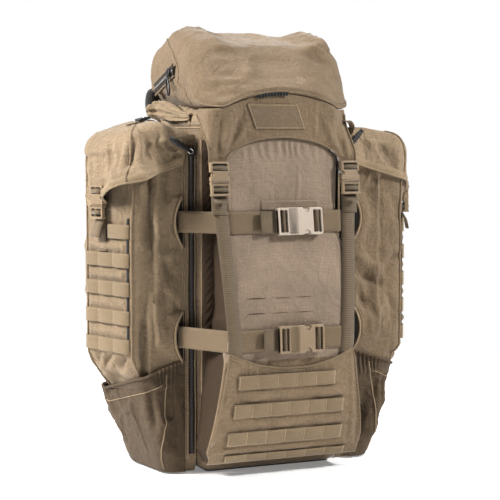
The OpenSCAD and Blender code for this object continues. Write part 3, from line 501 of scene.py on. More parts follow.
def strip_part(path, across, width, t=WEB_T, crown=0.0):
    """Webbing along a path; across points over its width, and it stands up by t."""
    path = np.asarray(path, float)
    across = unit(np.broadcast_to(np.asarray(across, float), path.shape))
    up = unit(np.cross(np.gradient(path, axis=0), across))
    h = np.broadcast_to(np.asarray(width, float), (len(path),)) / 2
    e = 0.35 * t
    profile = [(-1, 0, 0.0), (-1, 0, t - e), (-1, e, t), (-0.4, 0, t + crown), (0.4, 0, t + crown),
               (1, -e, t), (1, 0, t - e), (1, 0, 0.0), (0, 0, 0.0)]
    ring = [path + across * (h * s + off)[:, None] + up * z for s, off, z in profile]
    pts, faces, _ = grid_part(np.stack(ring, 1), True, False, True)
    place = np.stack([h * s + off for s, off, _ in profile], 1)
    return pts, faces, band_uv(faces, lengths(path), place)


def stitch_parts(lines, pitch=4.0, size=0.55):
    """Thread: a row of short raised stitches along each line of points."""
    pts, faces, k = [], [], 0
    for line in lines:
        line = np.asarray(line, float)
        length = lengths(line)
        for s in np.arange(pitch / 2, length[-1] - pitch / 2, pitch):
            a, b = (np.array([np.interp(x, length, line[:, i]) for i in range(3)])
                    for x in (s - pitch * 0.34, s + pitch * 0.34))
            d = unit(b - a)
            ref = np.array([0, 0, 1.0]) if abs(d[2]) < 0.9 else np.array([1.0, 0, 0])
            n1 = unit(np.cross(d, ref))
            n2 = np.cross(d, n1)
            m = (a + b) / 2
            pts += [a, m + n1 * size, m + n2 * size, m - n1 * size, m - n2 * size, b]
            for i in range(4):
                j = (i + 1) % 4
                faces.append([k, k + 1 + i, k + 1 + j])
                faces.append([k + 5, k + 1 + j, k + 1 + i])
            k += 6
    return np.array(pts), faces, None


def plate_part(outlines, z0, z1, bevel):
    """Flat plate with rounded edges; the first outline is its rim, the rest are holes."""
    curve = bpy.data.curves.new("plate", "CURVE")
    curve.dimensions = "2D"
    curve.fill_mode = "BOTH"
    curve.extrude = (z1 - z0) / 2 - bevel
    curve.bevel_depth = bevel
    curve.bevel_resolution = 2
    curve.offset = -bevel
    for outline in outlines:
        spline = curve.splines.new("POLY")
        spline.points.add(len(outline) - 1)
        for p, (x, y) in zip(spline.points, outline):
            p.co = (x, y, 0, 1)
        spline.use_cyclic_u = True
    obj = bpy.data.objects.new("plate", curve)
    bpy.context.scene.collection.objects.link(obj)
    mesh = bpy.data.meshes.new_from_object(obj.evaluated_get(bpy.context.evaluated_depsgraph_get()))
    pts = np.array([v.co[:] for v in mesh.vertices]) + [0, 0, (z0 + z1) / 2]
    faces = [list(p.vertices) for p in mesh.polygons]
    bpy.data.objects.remove(obj)
    bpy.data.curves.remove(curve)
    bpy.data.meshes.remove(mesh)
    return pts, faces, None


def moved(part, move):
    """The same part with each point taken through move."""
    return move(np.asarray(part[0], float)), part[1], part[2]


def mirror(part):
    """The same part on the other side of the pack."""
    pts = np.asarray(part[0], float) * [-1, 1, 1]
    faces = [f[::-1] for f in part[1]]
    uv = part[2]
    if uv is not None:
        turned, k = [], 0
        for f in part[1]:
            turned += list(uv[k:k + len(f)])[::-1]
            k += len(f)
        uv = turned
    return pts, faces, uv


def side_of(part, side):
    return part if side > 0 else mirror(part)


def pair(part):
    """A part on both sides, the left one first."""
    return [mirror(part), part]


def declare_sheet(P):
    """Works out the flat piece a cloth was cut from, its level girth and the length up along it, and keeps
    neither.
    """
    across = np.linalg.norm(np.diff(P[..., :2], axis=1), axis=2).sum(1).max() * MM
    along = np.linalg.norm(np.diff(P, axis=0), axis=2).sum(0).max() * MM


def settle(cloth, points, lift):
    """Points moved onto a cloth's surface, then out from it by lift."""
    P, n = cloth.P.reshape(-1, 3), cloth.normals().reshape(-1, 3)
    out = []
    for p in np.asarray(points, float):
        i = int(np.argmin(((P - p) ** 2).sum(1)))
        out.append(p - n[i] * ((p - P[i]) @ n[i] - lift))
    return np.array(out)


def smooth(points, n):
    """Smooth curve through points."""
    p = np.asarray(points, float)
    p = np.concatenate([[2 * p[0] - p[1]], p, [2 * p[-1] - p[-2]]])
    k = len(p) - 3
    out = []
    for s in np.linspace(0, k - 1e-9, n):
        i, t = int(s), s - int(s)
        a, b, c, d = p[i:i + 4]
        out.append(0.5 * (2 * b + (c - a) * t + (2 * a - 5 * b + 4 * c - d) * t * t
                          + (3 * b - a - 3 * c + d) * t ** 3))
    return np.array(out)


def fix_normals(obj):
    """Turns every face outwards."""
    bm = bmesh.new()
    bm.from_mesh(obj.data)
    bmesh.ops.recalc_face_normals(bm, faces=bm.faces)
    bm.to_mesh(obj.data)
    bm.free()
    return obj


# Outlines

def arc(a, b, c, r, n):
    """Points of the round that takes the corner b between a and c."""
    a, b, c = (np.asarray(p, float) for p in (a, b, c))
    u, w = unit(a - b), unit(c - b)
    half = math.acos(np.clip(u @ w, -1, 1)) / 2
    middle = b + unit(u + w) * r / math.sin(half)
    p = b + u * r / math.tan(half) - middle
    q = b + w * r / math.tan(half) - middle
    start = math.atan2(p[1], p[0])
    turn = (math.atan2(q[1], q[0]) - start + 3 * math.pi) % (2 * math.pi) - math.pi
    return [middle + r * np.array([math.cos(start + turn * i / n), math.sin(start + turn * i / n)])
            for i in range(n + 1)]


def rounded_path(pts, radii, counts, n=8):
    """Open path whose inner corners are rounded, each straight in its own count of steps."""
    out, last = [np.asarray(pts[0], float)], np.asarray(pts[0], float)
    for i in range(1, len(pts) - 1):
        bend = arc(pts[i - 1], pts[i], pts[i + 1], max(radii[i], 0.5), n)
        out += list(np.linspace(last, bend[0], counts[i - 1] + 1)[1:])
        out += bend[1:]
        last = bend[-1]
    out += list(np.linspace(last, np.asarray(pts[-1], float), counts[-1] + 1)[1:])
    return np.array(out)


def rounded_ring(pts, radii, counts, n=8):
    """Closed outline with rounded corners, each straight in its own count of steps."""
    k = len(pts)
    out = []
    for i in range(k):
        bend = arc(pts[i - 1], pts[i], pts[(i + 1) % k], max(radii[i], 0.5), n)
        after = arc(pts[i], pts[(i + 1) % k], pts[(i + 2) % k], max(radii[(i + 1) % k], 0.5), n)
        out += bend
        out += list(np.linspace(bend[-1], after[0], counts[i] + 1)[1:-1])
    return np.array(out)


def drawn_in(pts, d):
    """The outline with every side moved inwards by d."""
    pts = [np.asarray(p, float) for p in pts]
    k = len(pts)
    out = []
    for i in range(k):
        u, w = unit(pts[i] - pts[i - 1]), unit(pts[(i + 1) % k] - pts[i])
        m = np.array([-u[1] - w[1], u[0] + w[0]])
        out.append(pts[i] + m * d * 2 / (m @ m))
    return out


def xyz(path, z):
    """A flat path at height z."""
    return np.column_stack([path, np.broadcast_to(z, (len(path),))])


# The front surface

def front_y(z):
    """Where the front surface stands at height z."""
    z = np.asarray(z, float)
    upper = 38 + 45 * (1 + np.cos(np.pi * (np.minimum(z, 650) - 200) / 450)) / 2
    k = np.clip((200 - z) / 200, 0, 1)
    lower = 83 - 80 * (1 - np.sqrt(1 - k * k))
    return BAG_FRONT - np.where(z > 200, upper, lower)


def front_lean(z):
    return math.atan2(front_y(z + 1) - front_y(z - 1), 2)


def pocket_half(z):
    """Half the front pocket's width at height z."""
    return np.interp(z, [25, 50, 300, 560, 600], [138, 150, 114, 114, 100])


POCKET_R = 14.0


def panel_edge(x):
    """Height of the lower panel's upper edge."""
    corner, side = pocket_half(PANEL_TOP) - POCKET_R, pocket_half(50) - POCKET_R
    slope = (PANEL_TOP - 50) / (side - corner)
    x = np.abs(np.asarray(x, float))
    return np.where(x > corner, PANEL_TOP - (x - corner) * slope,
                    PANEL_TOP - 30 * (1 - (x / corner) ** 2))


def apron_edge(x):
    """Height of the apron's lower edge."""
    tab_z = LID_MOUTH_Z + 34 - 5
    inner = LID_STRAP_X - 15.5
    x = np.abs(np.asarray(x, float))
    return np.where(x > inner, tab_z,
                    tab_z + (APRON_Z - tab_z) * np.sqrt(np.clip(1 - (x / (inner + 1)) ** 2, 0, 1)))


def front_move(x, z, lift, upwards):
    """Move for a buckle on the front at height z, its length across it or upwards."""
    lean = front_lean(z)
    c, s = math.cos(lean), math.sin(lean)
    y = front_y(z) - lift / c

    def move(p):
        over, up = (-p[:, 1], p[:, 0]) if upwards else (p[:, 0], p[:, 1])
        return line_of(x + over, y - p[:, 2] * c + up * s, z + p[:, 2] * s + up * c)
    return move


def across_front(x, z):
    return front_move(x, z, LAYER_2 + 0.3, False)


def up_front(x, z):
    return front_move(x, z, LAYER_3 + 0.9, True)


def on_back(x, y, z):
    """Move for a buckle behind the pack, its back on a face at y."""
    def move(p):
        return line_of(x - p[:, 0], y + p[:, 2], z + p[:, 1])
    return move


# Front pocket

def pocket_tuck(z):
    """How far the zip draws in the pocket's right front edge."""
    return 13 * step(z, 396, 440) * (1 - step(z, 546, 590))


def make_front_pocket():
    rows = []
    zs = np.concatenate([np.linspace(25, 60, 10), np.linspace(64, 600, 150)])
    for z in zs:
        w, f = pocket_half(z), front_y(z)
        pts = [(-w, BAG_FRONT - SEAT), (-w, f), (w, f), (w, BAG_FRONT - SEAT)]
        r = 5 + (POCKET_R - 5) * float(step(z, 206, 230))
        rows.append(xyz(rounded_path(pts, [0, r, r, 0], [14, 96, 14]), z))
    cloth = Cloth(rows, (0, -130, 300))
    x, z = cloth.P[..., 0], cloth.P[..., 2]
    front = cloth.P[..., 1] < front_y(z) + 6
    middle = np.clip(1 - (np.abs(x) / 104) ** 2.4, 0, 1) * front
    free = hump(z, 478, 566) + hump(z, 272, 430)
    puff = 8.5 * hump(z, 470, 600) + 9.5 * hump(z, 262, 440)
    bite = np.maximum(step(z, 428, 434) * (1 - step(z, 470, 476)),
                      step(z, 224, 229) * (1 - step(z, 265, 270)))
    under = step(z, apron_edge(x) - 6, apron_edge(x) + 4)
    cloth.push((puff * middle - 1.0 * bite) * (1 - under) - 0.6 * (z < panel_edge(x)) - 0.8 * under)
    gather = step(z, 540, 594) * (1 - step(z, apron_edge(x) - 14, apron_edge(x) - 2))
    ripple = np.sin(x / 15 * 2 * np.pi + 5.0 * noise(cloth.P / 34, 5))
    cloth.push(1.5 * ripple * gather * middle)
    cloth.crumple(3.0, 60, 11, free * middle, (1, 1, 1.8))
    cloth.crumple(1.2, 24, 13, free * middle, (1, 1, 1.4))
    side = (~front) * step(z, 60, 120)
    cloth.crumple(2.6, 32, 17, side, (1, 1, 2.2))
    cloth.fold([(-92, -176, 520), (-70, -180, 505), (-50, -182, 480)], 9, -3)
    cloth.fold([(-95, -174, 560), (-80, -176, 540), (-74, -178, 515)], 8, 2.5)
    cloth.fold([(88, -176, 548), (78, -178, 520), (90, -180, 494)], 9, -2.5)
    cloth.P[..., 0] -= pocket_tuck(z) * step(x, 40, 108) * step(-cloth.P[..., 1], 142, 170)
    obj = cloth.build("front_pocket_cloth", "taupe", "pack", 1.6, "dark")
    obj.modifiers[0].material_offset = 0
    obj.data.materials.append(MAT["tan"])
    steps = cloth.P.shape[1] - 1
    for i, face in enumerate(obj.data.polygons):
        across = i % steps
        if not 15 <= across < steps - 15:
            face.material_index = 1
        if zs[i // steps] < 208 and 14 <= across < steps - 14:
            face.material_index = 2
    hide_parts("front_pocket")
    edges, lines = [], []
    for s in (-1, 1):
        zz = np.linspace(230, 596, 90)
        w = pocket_half(zz) - (pocket_tuck(zz) if s > 0 else 0)
        edge = line_of(s * (w - 3), front_y(zz) + 3, zz)
        edges.append(tube_part(edge, 1.3, 8))
        lines.append(line_of(s * (w - POCKET_R), front_y(zz) - 0.3, zz))
    add("pocket_piping", edges, "taupe", "pack")
    # Painted shade: dark raised lines stand for the shade inside the cut slits, the first of each row wider
    # and so darker
    slits = []
    for z in (294.0, 321.0):
        for k, x in enumerate((-66, -20, 24)):
            px = np.linspace(x - 17, x + 17, 14)
            path = settle(cloth, line_of(px, front_y(z) - 5, z), 0.3)
            taper = (0.9 if k == 0 else 0.5) * np.sin(np.linspace(0.25, math.pi - 0.25, 14))
            slits.append(tube_part(path, taper, 6))
    add("pocket_slit_painted_shade", slits, "dark", "pack")
    px = np.linspace(-46, 64, 50)
    strip = np.stack([settle(cloth, line_of(px, front_y(z) - 3, z), 0.2)
                      for z in np.linspace(472.5, 489.5, 7)], 0)
    add("pocket_strip", [solid_sheet(strip, 1.5, (0, -1, 0))], "taupe", "pack")
    lines = [settle(cloth, line, 0.4) for line in lines] + [strip[-2] + [0, -1.9, 0]]
    add("pocket_stitches", [stitch_parts(lines)], "thread", "pack")
    # The zip's upper end comes round the pocket's right corner on to its front
    bend = smooth([(92, front_y(578) - 4.5, 578), (103, front_y(572) - 3.5, 571),
                   (110, front_y(560) + 0.5, 560),
                   (114, front_y(548) + 7, 548), (115.5, -146, 540)], 26)
    add("pocket_zip_end", [tube_part(bend + [0, 0.6, 0], 4.2, 8, squash=0.3, up=(0, 1, 0))], "zip_tape",
        "pack")
    add("pocket_zip_end_coil", [tube_part(bend + [0, -0.9, 0], 1.5 + 0.3 * np.sin(np.arange(26) * 3.1), 8)],
        "coil", "pack")
    stop = smooth([(106, front_y(566) - 3.0, 568), (110.5, front_y(560) - 2.0, 560),
                   (113.5, front_y(552) + 1.5, 551)], 12)
    add("pocket_zip_stop", [tube_part(stop, 2.6 * np.sin(np.linspace(0.5, 2.6, 12)), 10)], "steel", "pack")


def make_lower_panel():
    t = np.linspace(-1, 1, 120)
    side = pocket_half(50) - POCKET_R
    corner = pocket_half(PANEL_TOP) - POCKET_R
    wider = (side + POCKET_R - 3) / side
    reach = (corner + (side - corner) * 0.93) * wider
    xs = t * reach
    s = np.linspace(0, 1, 90) ** 1.25
    top = panel_edge(xs / wider)
    z = PANEL_FOOT + (top[None, :] - PANEL_FOOT) * s[:, None]
    x = np.broadcast_to(xs, z.shape)
    P = np.stack([x, front_y(z) - LAYER_1 - 2.0, z], -1)
    cloth = Cloth(P, (0, -130, 120))
    rows = [PANEL_FOOT + 33 + i * ROW_PITCH for i in range(3)]
    between = np.zeros_like(z)
    for a, b in ((43, 60), (87, 111), (138, 162), (189, 226)):
        between = np.maximum(between, hump(z, a, b))
    inner = np.clip(1 - (np.abs(x) / (reach - 8)) ** 6, 0, 1)
    cloth.push(4.2 * between * inner)
    skew = np.sin((x * 0.9 + z * 0.55) / 21 + 1.6 * noise(P / 50, 3))
    cloth.push(4.2 * skew * between * inner * (0.5 + 0.5 * noise(P / 70, 4)))
    flank = step(np.abs(x), corner - 6, corner + 8)
    cloth.push(1.0 * np.sin((np.abs(x) * 2.4 + z * 0.22) / 7) * flank * step(z, 40, 70) * (x > 0))
    cloth.P[0] += [0, 3.0, -2]
    obj = cloth.build("lower_panel_cloth", "tan", "pack", 1.5)
    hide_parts("lower_panel")
    P = cloth.P
    rim = P[-1]
    hem = add("lower_panel_binding", [tube_part(rim + [0, -0.2, 0], 1.6, 8, squash=0.7, up=(0, 1, 0))],
        "edge", "pack")
    declare_sheet(P)
    add("lower_panel_stitches", [stitch_parts([P[-4] + [0, -0.5, 0]])], "thread", "pack")
    bands, tacks = [], []
    for z0, cut in zip(rows, (14, 8, 20)):
        bands.append(front_row(z0, z0 + NARROW, pocket_half(z0 + NARROW) - POCKET_R - 13, tacks, cut))
    low = PANEL_FOOT + 1
    bands.append(front_row(low, low + 14, pocket_half(41) - POCKET_R - 15, tacks))
    obj = add("front_webbing", bands, "web", "pack")
    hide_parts("front_webbing_rows")
    add("front_bartacks", tacks, "thread", "pack")


def front_row(z0, z1, half, tacks, cut=0):
    """A webbing row sewn down at even steps, standing a little proud between."""
    n = int(2 * half / 3)
    x = np.linspace(-half, half - cut, n)
    k = max(1, round((2 * half - cut) / TACK_PITCH))
    phase = (x + half) / (2 * half - cut) * k
    puff = 0.6 + 2.2 * np.abs(np.sin(np.pi * phase)) ** 0.6
    cols = []
    for s in np.linspace(0, 1, 7):
        z = z0 + (z1 - z0) * s
        cols.append(line_of(x, front_y(z) - LAYER_2 - puff * (0.5 + s), z))
    P = np.stack(cols, 0)
    for i in range(k + 1):
        xc = np.clip(-half + (2 * half - cut) * i / k, -half + 2, half - cut - 2)
        zz = np.linspace(z0 + 1.5, z1 - 1.5, 7)
        rise = 0.2 + 1.25 * (0.5 + (zz - z0) / (z1 - z0))
        line = line_of(xc, front_y(zz) - LAYER_2 - WEB_T - rise, zz)
        tacks.append(tube_part(line, 0.8, 6, squash=0.6, up=(0, 1, 0)))
    return solid_sheet(P, WEB_T, (0, -1, 0))


def solid_sheet(P, t, out):
    """Closed strip: a grid of points thickened by t towards out."""
    n = grid_normals(P, False)
    flip = (n * np.asarray(out, float)).sum() < 0
    if flip:
        n = -n
    ring = np.concatenate([P, (P + n * t)[::-1]], 0)
    pts, faces, _ = grid_part(ring.transpose(1, 0, 2), True, flip, True)
    share = np.concatenate([np.linspace(0, 1, P.shape[0]), np.linspace(1, 0, P.shape[0])])
    width = np.linalg.norm(P[-1, 0] - P[0, 0])
    place = np.tile(share * width, (P.shape[1], 1))
    return pts, faces, band_uv(faces, lengths(P[P.shape[0] // 2]), place)


make_front_pocket()
make_lower_panel()


# Main bag, collar and gussets

def bag_plan(d, counts=(44, 40, 44, 40)):
    x, y0, y1, r = BAG_SIDE - d, BAG_FRONT + d, BAG_BACK - d, max(BAG_R - d, 5)
    return rounded_ring([(-x, y0), (x, y0), (x, y1), (-x, y1)], [r] * 4, counts, 6)


def make_bag():
    zs = [3, 5, 11, 20, 29] + list(np.linspace(40, BAG_H, 90))
    ds = np.interp(zs, [3, 11, 29, BAG_H], [16, 5, 0.2, 0.2])
    cloth = Cloth([xyz(bag_plan(d), z) for d, z in zip(ds, zs)], (0, 0, 300), True)
    z = cloth.P[..., 2]
    cloth.crumple(-1.2, 60, 21, step(z, 30, 70) * (1 - step(z, 580, 610)), (1, 1, 1.5))
    obj = cloth.build("main_bag_cloth", "tan", "pack", 2.4, "lining")
    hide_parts("main_bag")
    floor = Cloth([xyz(bag_plan(16 + k * 100), 3.2) for k in np.linspace(0, 1, 6)], (0, 0, 300), True)
    add("main_bag_floor", [floor.part()], "tan", "pack")
    ring = xyz(bag_plan(-0.4), BAG_H - 2)
    add("main_bag_rim", [tube_part(ring, 1.6, 8, True)], "binding", "pack")


def make_collar():
    z0 = BAG_H + SEAT
    steps = [(3, 0.0), (0.5, 0.12), (-1, 0.35), (0, 0.55), (4, 0.78), (13, 0.98), (28, 1.02), (42, 0.97),
             (47, 0.8), (46, 0.6)]
    P = np.array([xyz(bag_plan(d), z0 + 28 * s) for d, s in steps])
    fine = np.array([[np.interp(k, range(len(steps)), P[:, c, i]) for i in range(3)]
                     for k in np.linspace(0, len(steps) - 1, 34) for c in range(P.shape[1])])
    P = fine.reshape(34, -1, 3)
    cloth = Cloth(P, (0, 0, 640), True)
    cols = P.shape[1]
    turn = np.arange(cols) / cols * 2 * np.pi
    k = np.linspace(0, 1, 34)[:, None]
    ripple = np.sin(turn * 46 + 3 * noise(P / 40, 8)) + 0.5 * np.sin(turn * 27 + k * 5)
    cloth.push(2.0 * ripple * np.sin(np.pi * np.clip(k * 1.02, 0, 1)) ** 0.7)
    side = step(np.abs(P[..., 0]), 104, 134) * step(P[..., 1], -100, 40)
    cloth.P[..., 2] = np.minimum(cloth.P[..., 2], LID_Z - 0.5)
    cloth.P[..., 2] += (0.4 + 20 * side) * step(k, 0.3, 0.75) * np.ones_like(side)
    cloth.fold([(-142, 90, 664), (-144, 30, 650), (-141, -60, 634)], 6, -4.0)
    cloth.fold([(-142, 100, 650), (-145, 40, 640), (-141, -40, 630)], 6, 4.0)
    cloth.P[..., 0] = np.clip(cloth.P[..., 0], -145.5, 145.5)
    obj = cloth.build("collar_cloth", "cream", "pack", 1.2)
    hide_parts("bag_collar")
    add("collar_drawcord", [tube_part(P[-6] + [0, 0, 0.5], 1.6, 8, True)], "black_web", "pack")


def make_gussets():
    pipes = []
    for side, s in SIDES:
        z = np.linspace(58, 596, 150)
        k = np.linspace(0, 1, 10)
        x = s * (113 + 20 * k)
        Z, X = np.meshgrid(z, x, indexing="ij")
        phase = (Z + 26 * np.abs(X) / 19) / 15 * 2 * np.pi
        ruffle = np.sin(phase + 1.5 * noise(np.stack([X, Z, Z], -1) / 30, 2))
        corner = np.maximum(np.abs(X) - (BAG_SIDE - BAG_R), 0)
        y = BAG_FRONT + BAG_R - np.sqrt(np.maximum(BAG_R ** 2 - corner ** 2, 0)) - 2.2
        y = y - 1.6 * ruffle * np.sin(np.pi * k)[None, :]
        cloth = Cloth(np.stack([X, y, Z], -1), (0, 0, 300))
        obj = cloth.build(side + "_gusset", "dark", "pack", 1.0)
        declare_sheet(cloth.P)
        pipes.append(tube_part(line_of(s * 134.5, -112.0, z), 1.5, 8))
    add("gusset_piping", pipes, "cream", "pack")


def make_collar_fold():
    """Slack collar cloth that bulges out over the left flap."""
    y = np.linspace(-74, 100, 70)
    k = np.linspace(0, 1, 34)[:, None]
    dip = step(y, 34, 52) * (1 - step(y, 74, 90))
    reach = 4 + 26 * step(y, -70, 70) * (1 - 0.35 * step(y, 84, 100)) - 17 * dip
    tall = 8 + 10 * step(y, -70, 30)
    X = -139.5 - reach[None] * np.sin(np.pi * k) ** 0.9
    Z = (636 + 14 * step(y, -60, 70))[None] + tall[None] * np.cos(np.pi * k)
    cloth = Cloth(np.stack([X, np.broadcast_to(y, X.shape), Z], -1), (-130, 10, 646))
    lines = np.sin(k * 21 + 0.8 * np.sin(y / 24)[None]) + 0.6 * np.sin(k * 37 - y[None] / 30)
    cloth.push(2.0 * lines * np.sin(np.pi * k))
    cloth.crumple(1.6, 26, 45, np.sin(np.pi * k) * np.ones_like(X), (1, 2.5, 1))
    obj = cloth.build("collar_fold", "cream", "pack", 1.0)
    declare_sheet(cloth.P)
    return obj


def make_collar_pad():
    """Dark end of the padding behind the collar, at its left rear corner."""
    t = np.linspace(0, math.pi, 30)
    path = line_of(-148.0, 108 + 3 * np.sin(t), 664 - 26 * np.cos(t))
    return add("collar_pad", [tube_part(path, 0.5 + 13 * np.sin(t) ** 0.6, 14, squash=0.8, up=(0, 1, 0))],
               "mesh", "pack")


make_bag()
make_collar()
make_gussets()
FOLD = make_collar_fold()
COLLAR_PAD = make_collar_pad()


# Straps across the front

STRAP_ANCHOR = 174.3
STRAP_LIFT = LAYER_1 + 0.15
SLOT_LIP, SLOT_X, SLOT_BOW, SLOT_HALF = 8.0, 164.0, 17.0, 46.0


def strap_points(z, x_end):
    """Back points of a strap's right half at height z, from its anchor on the pod to x_end."""
    middle = np.array([pocket_half(z) - POCKET_R, front_y(z) + POCKET_R])
    r = POCKET_R + STRAP_LIFT
    anchor = np.array([STRAP_ANCHOR, POD_FRONT - SEAT])
    reach = anchor - middle
    wrap = math.atan2(reach[1], reach[0]) + math.asin(r / np.linalg.norm(reach))
    angles = np.linspace(wrap, 0, 9)
    bend = [middle + r * np.array([math.sin(a), -math.cos(a)]) for a in angles]
    end = np.array([x_end, front_y(z) - STRAP_LIFT])
    return np.concatenate([np.linspace(anchor, bend[0], 14), bend[1:], np.linspace(bend[-1], end, 26)[1:]])


def make_strap(name, node_name, z, mouth):
    parts = []
    for s, x_end in ((1, mouth + 49.6 - 12), (-1, 36.3 - mouth - 8)):
        rows = []
        for k in np.linspace(-1, 1, 7):
            zz = z + k * WIDE / 2
            pts = strap_points(zz, x_end)
            rows.append(line_of(pts[:, 0], pts[:, 1], zz))
        parts.append(side_of(solid_sheet(np.array(rows), WEB_T, (0.3, -1, 0)), s))
    obj = add(name, parts, "wide_web", "pack")
    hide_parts(node_name)


def make_slots():
    """Bound openings in the pods' front faces, where the straps come out; a flat black sheet in each is
    painted shade for the dark inside it.
    """
    dark, rims = [], []
    for s in (-1, 1):
        for z0 in (UPPER_Z, LOWER_Z):
            a = np.linspace(-1, 1, 40)
            outer = SLOT_X + SLOT_BOW * (1 - a ** 2)
            zz = z0 + SLOT_HALF * a
            k = np.linspace(0, 1, 6)[None, :, None]
            left = line_of(160.0, POD_FRONT - 2.4, zz)
            right = line_of(outer + 2, POD_FRONT - 2.4, zz)
            # Painted shade: a flat black sheet over the strap's start, for the dark inside the slot
            P = left[:, None] * (1 - k) + right[:, None] * k
            dark.append(side_of(grid_part(P, False, False), s))
            lip = line_of(outer + 2.5, POD_FRONT - 2.6 - SLOT_LIP * (1 - a ** 2) ** 0.5, zz)
            rims.append(side_of(tube_part(lip, 2.3, 8, squash=0.7, up=(0, 1, 0)), s))
    add("strap_slot_painted_shade", dark, "lining", "pack")
    add("strap_slot_binding", rims, "binding", "pack")


make_strap("upper_strap_webbing", "upper_strap", UPPER_Z, UPPER_MOUTH)
make_strap("lower_strap_webbing", "lower_strap", LOWER_Z, LOWER_MOUTH)
make_slots()


# Buckles

def rect(x0, y0, x1, y1, r=0.0, n=5):
    pts = [(x0, y0), (x1, y0), (x1, y1), (x0, y1)]
    if r <= 0:
        return pts
    out = []
    for i in range(4):
        out += arc(pts[i - 1], pts[i], pts[(i + 1) % 4], r, n)
    return [tuple(p) for p in out]


def buckle_size(web):
    """Width, thickness, length of the female and the male half, and length of the prongs."""
    return web + 10, 0.22 * web + 4, 1.2 * web + 4, 0.85 * web + 4, 0.6 * web


def female_parts(web):
    """Female half: a shell with thumb notches at its sides and two webbing slots."""
    w, t, l, _, prong = buckle_size(web)
    notch, nx = 0.17 * web, prong * 0.82
    top = [(nx + notch * math.cos(a), w / 2 - 0.2 - notch * math.sin(a) * 1.3)
           for a in np.linspace(0, math.pi, 11)]
    bottom = [(x, -y) for x, y in top]
    corner = arc((0, w / 2), (l, w / 2), (l, 0), 5, 5)
    outline = [(0.2, -w / 2 + 1.2), (1.4, -w / 2)] + bottom[::-1] + \
        [(x, -y) for x, y in corner] + [tuple(p) for p in corner[::-1]] + top + \
        [(1.4, w / 2), (0.2, w / 2 - 1.2)]
    slots = [rect(a, -web / 2 - 0.8, b, web / 2 + 0.8, 1.0)[::-1]
             for a, b in ((l - 8.5, l - 3.6), (max(l - 18, nx + notch + 1.5), l - 12.5))]
    parts = [plate_part([outline] + slots, 0, t, 1.1)]
    pad = rect(3, -w / 2 + 6, prong * 0.5, w / 2 - 6, 2)
    parts.append(plate_part([pad], t - 0.4, t + 0.4, 0.3))
    return parts


def male_parts(web):
    """Male half: a ladder frame with two slots, and three prongs."""
    w, t, _, l, prong = buckle_size(web)
    x0 = -SEAT - l
    frame_part = plate_part(
        [rect(x0, -w / 2, -SEAT, w / 2, 3.5),
         rect(x0 + 4, -web / 2 - 0.8, x0 + 9, web / 2 + 0.8, 1)[::-1],
         rect(x0 + 13, -web / 2 - 0.8, x0 + 18, web / 2 + 0.8, 1)[::-1]], 2.4, t, 0.9)
    lip = plate_part([rect(x0, -w / 2, x0 + 4, w / 2, 1.5)], 0.2, t + 0.6, 0.8)
    shoulder = plate_part([rect(-SEAT - max(l - 20, 5), -w / 2, -SEAT, w / 2, 1.5)], 0, t, 0.8)
    arm = 0.14 * web
    reach = w / 2 - 1.8 - 0.5
    parts = [frame_part, lip, shoulder]
    for s in (-1, 1):
        y0, y1 = sorted((s * reach, s * (reach - arm)))
        parts.append(plate_part([rect(-1, y0, prong - 0.5, y1, 1)], 2.3, t - 2.3, 0.4))
    parts.append(plate_part([rect(-1, -arm / 2, prong * 0.66, arm / 2, 1)], 2.3, t - 2.3, 0.4))
    return parts


def tail_part(web, tail):
    """Webbing over the middle bar of a male half and under its end bar, into a short raised tail."""
    _, t, _, l, _ = buckle_size(web)
    bar = -SEAT - l + 9
    route = [(bar + 6.6, 0.5), (bar + 6.4, t * 0.55), (bar + 4, t + 0.5), (bar, t + 0.5),
             (bar - 2.4, t * 0.55),
             (bar - 4, 0.7), (bar - 9.5, 0.2), (bar - 13, 2.0), (bar - 15 - tail * 0.4, 8.0),
             (bar - 15 - tail, 11.0)]
    path = smooth(route, 50)
    pts = line_of(path[:, 0], 0.0, path[:, 1])
    main = strip_part(pts, (0, 1, 0), web, 1.9)
    hem = pts[-12:] - [0, 0, 2.1]
    return [main, strip_part(hem, (0, 1, 0), web, 1.8)]


def piece(name, parts, move, mat, body, *nodes):
    obj = sharp(add(name, [moved(p, move) for p in parts], mat, body))
    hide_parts(*nodes)
    return obj


def mirrored_faces(part, s):
    """A part that a mirroring move will turn inside out, turned beforehand on the left."""
    return part if s > 0 else (part[0], *mirror(part)[1:])


def buckle(name, node_name, web, move, mat, bodies, s=1):
    """Both halves of a buckle, on the bodies of its female and its male half."""
    for half, parts, body in zip(("female", "male"), (female_parts(web), male_parts(web)), bodies):
        piece(name + "_" + half + "_half", [mirrored_faces(p, s) for p in parts], move, mat, body,
              node_name + "_buckle_" + half)


def loop_part(web):
    """Webbing over the middle bar of a female half, down through both slots."""
    _, t, l, _, _ = buckle_size(web)
    route = [(l - back, v) for back, v in ((15.2, 0.2), (15.2, t * 0.6), (12.6, t + 0.6), (8.4, t + 0.6),
                                           (6.0, t * 0.6), (5.4, 0.4), (3, -0.4))]
    path = smooth(route, 36)
    pts = line_of(path[:, 0], 0.0, path[:, 1])
    return strip_part(pts, (0, -1, 0), web, 1.8)


for label, z, mouth in (("upper", UPPER_Z, UPPER_MOUTH), ("lower", LOWER_Z, LOWER_MOUTH)):
    move = across_front(mouth, z)
    # Painted highlight: the upper buckle is the same plastic as the lower one, drawn paler for its reflection
    shell = "painted_highlight_plastic" if label == "upper" else "plastic"
    buckle(label, label, WIDE, move, shell, ("pack", label + "_male"))
    piece(label + "_tail_webbing", tail_part(WIDE, 26 if label == "upper" else 22), move, "wide_web",
          label + "_male", label + "_strap_tail")
    add(label + "_female_loop", [moved(loop_part(WIDE), move)], "wide_web", "pack")

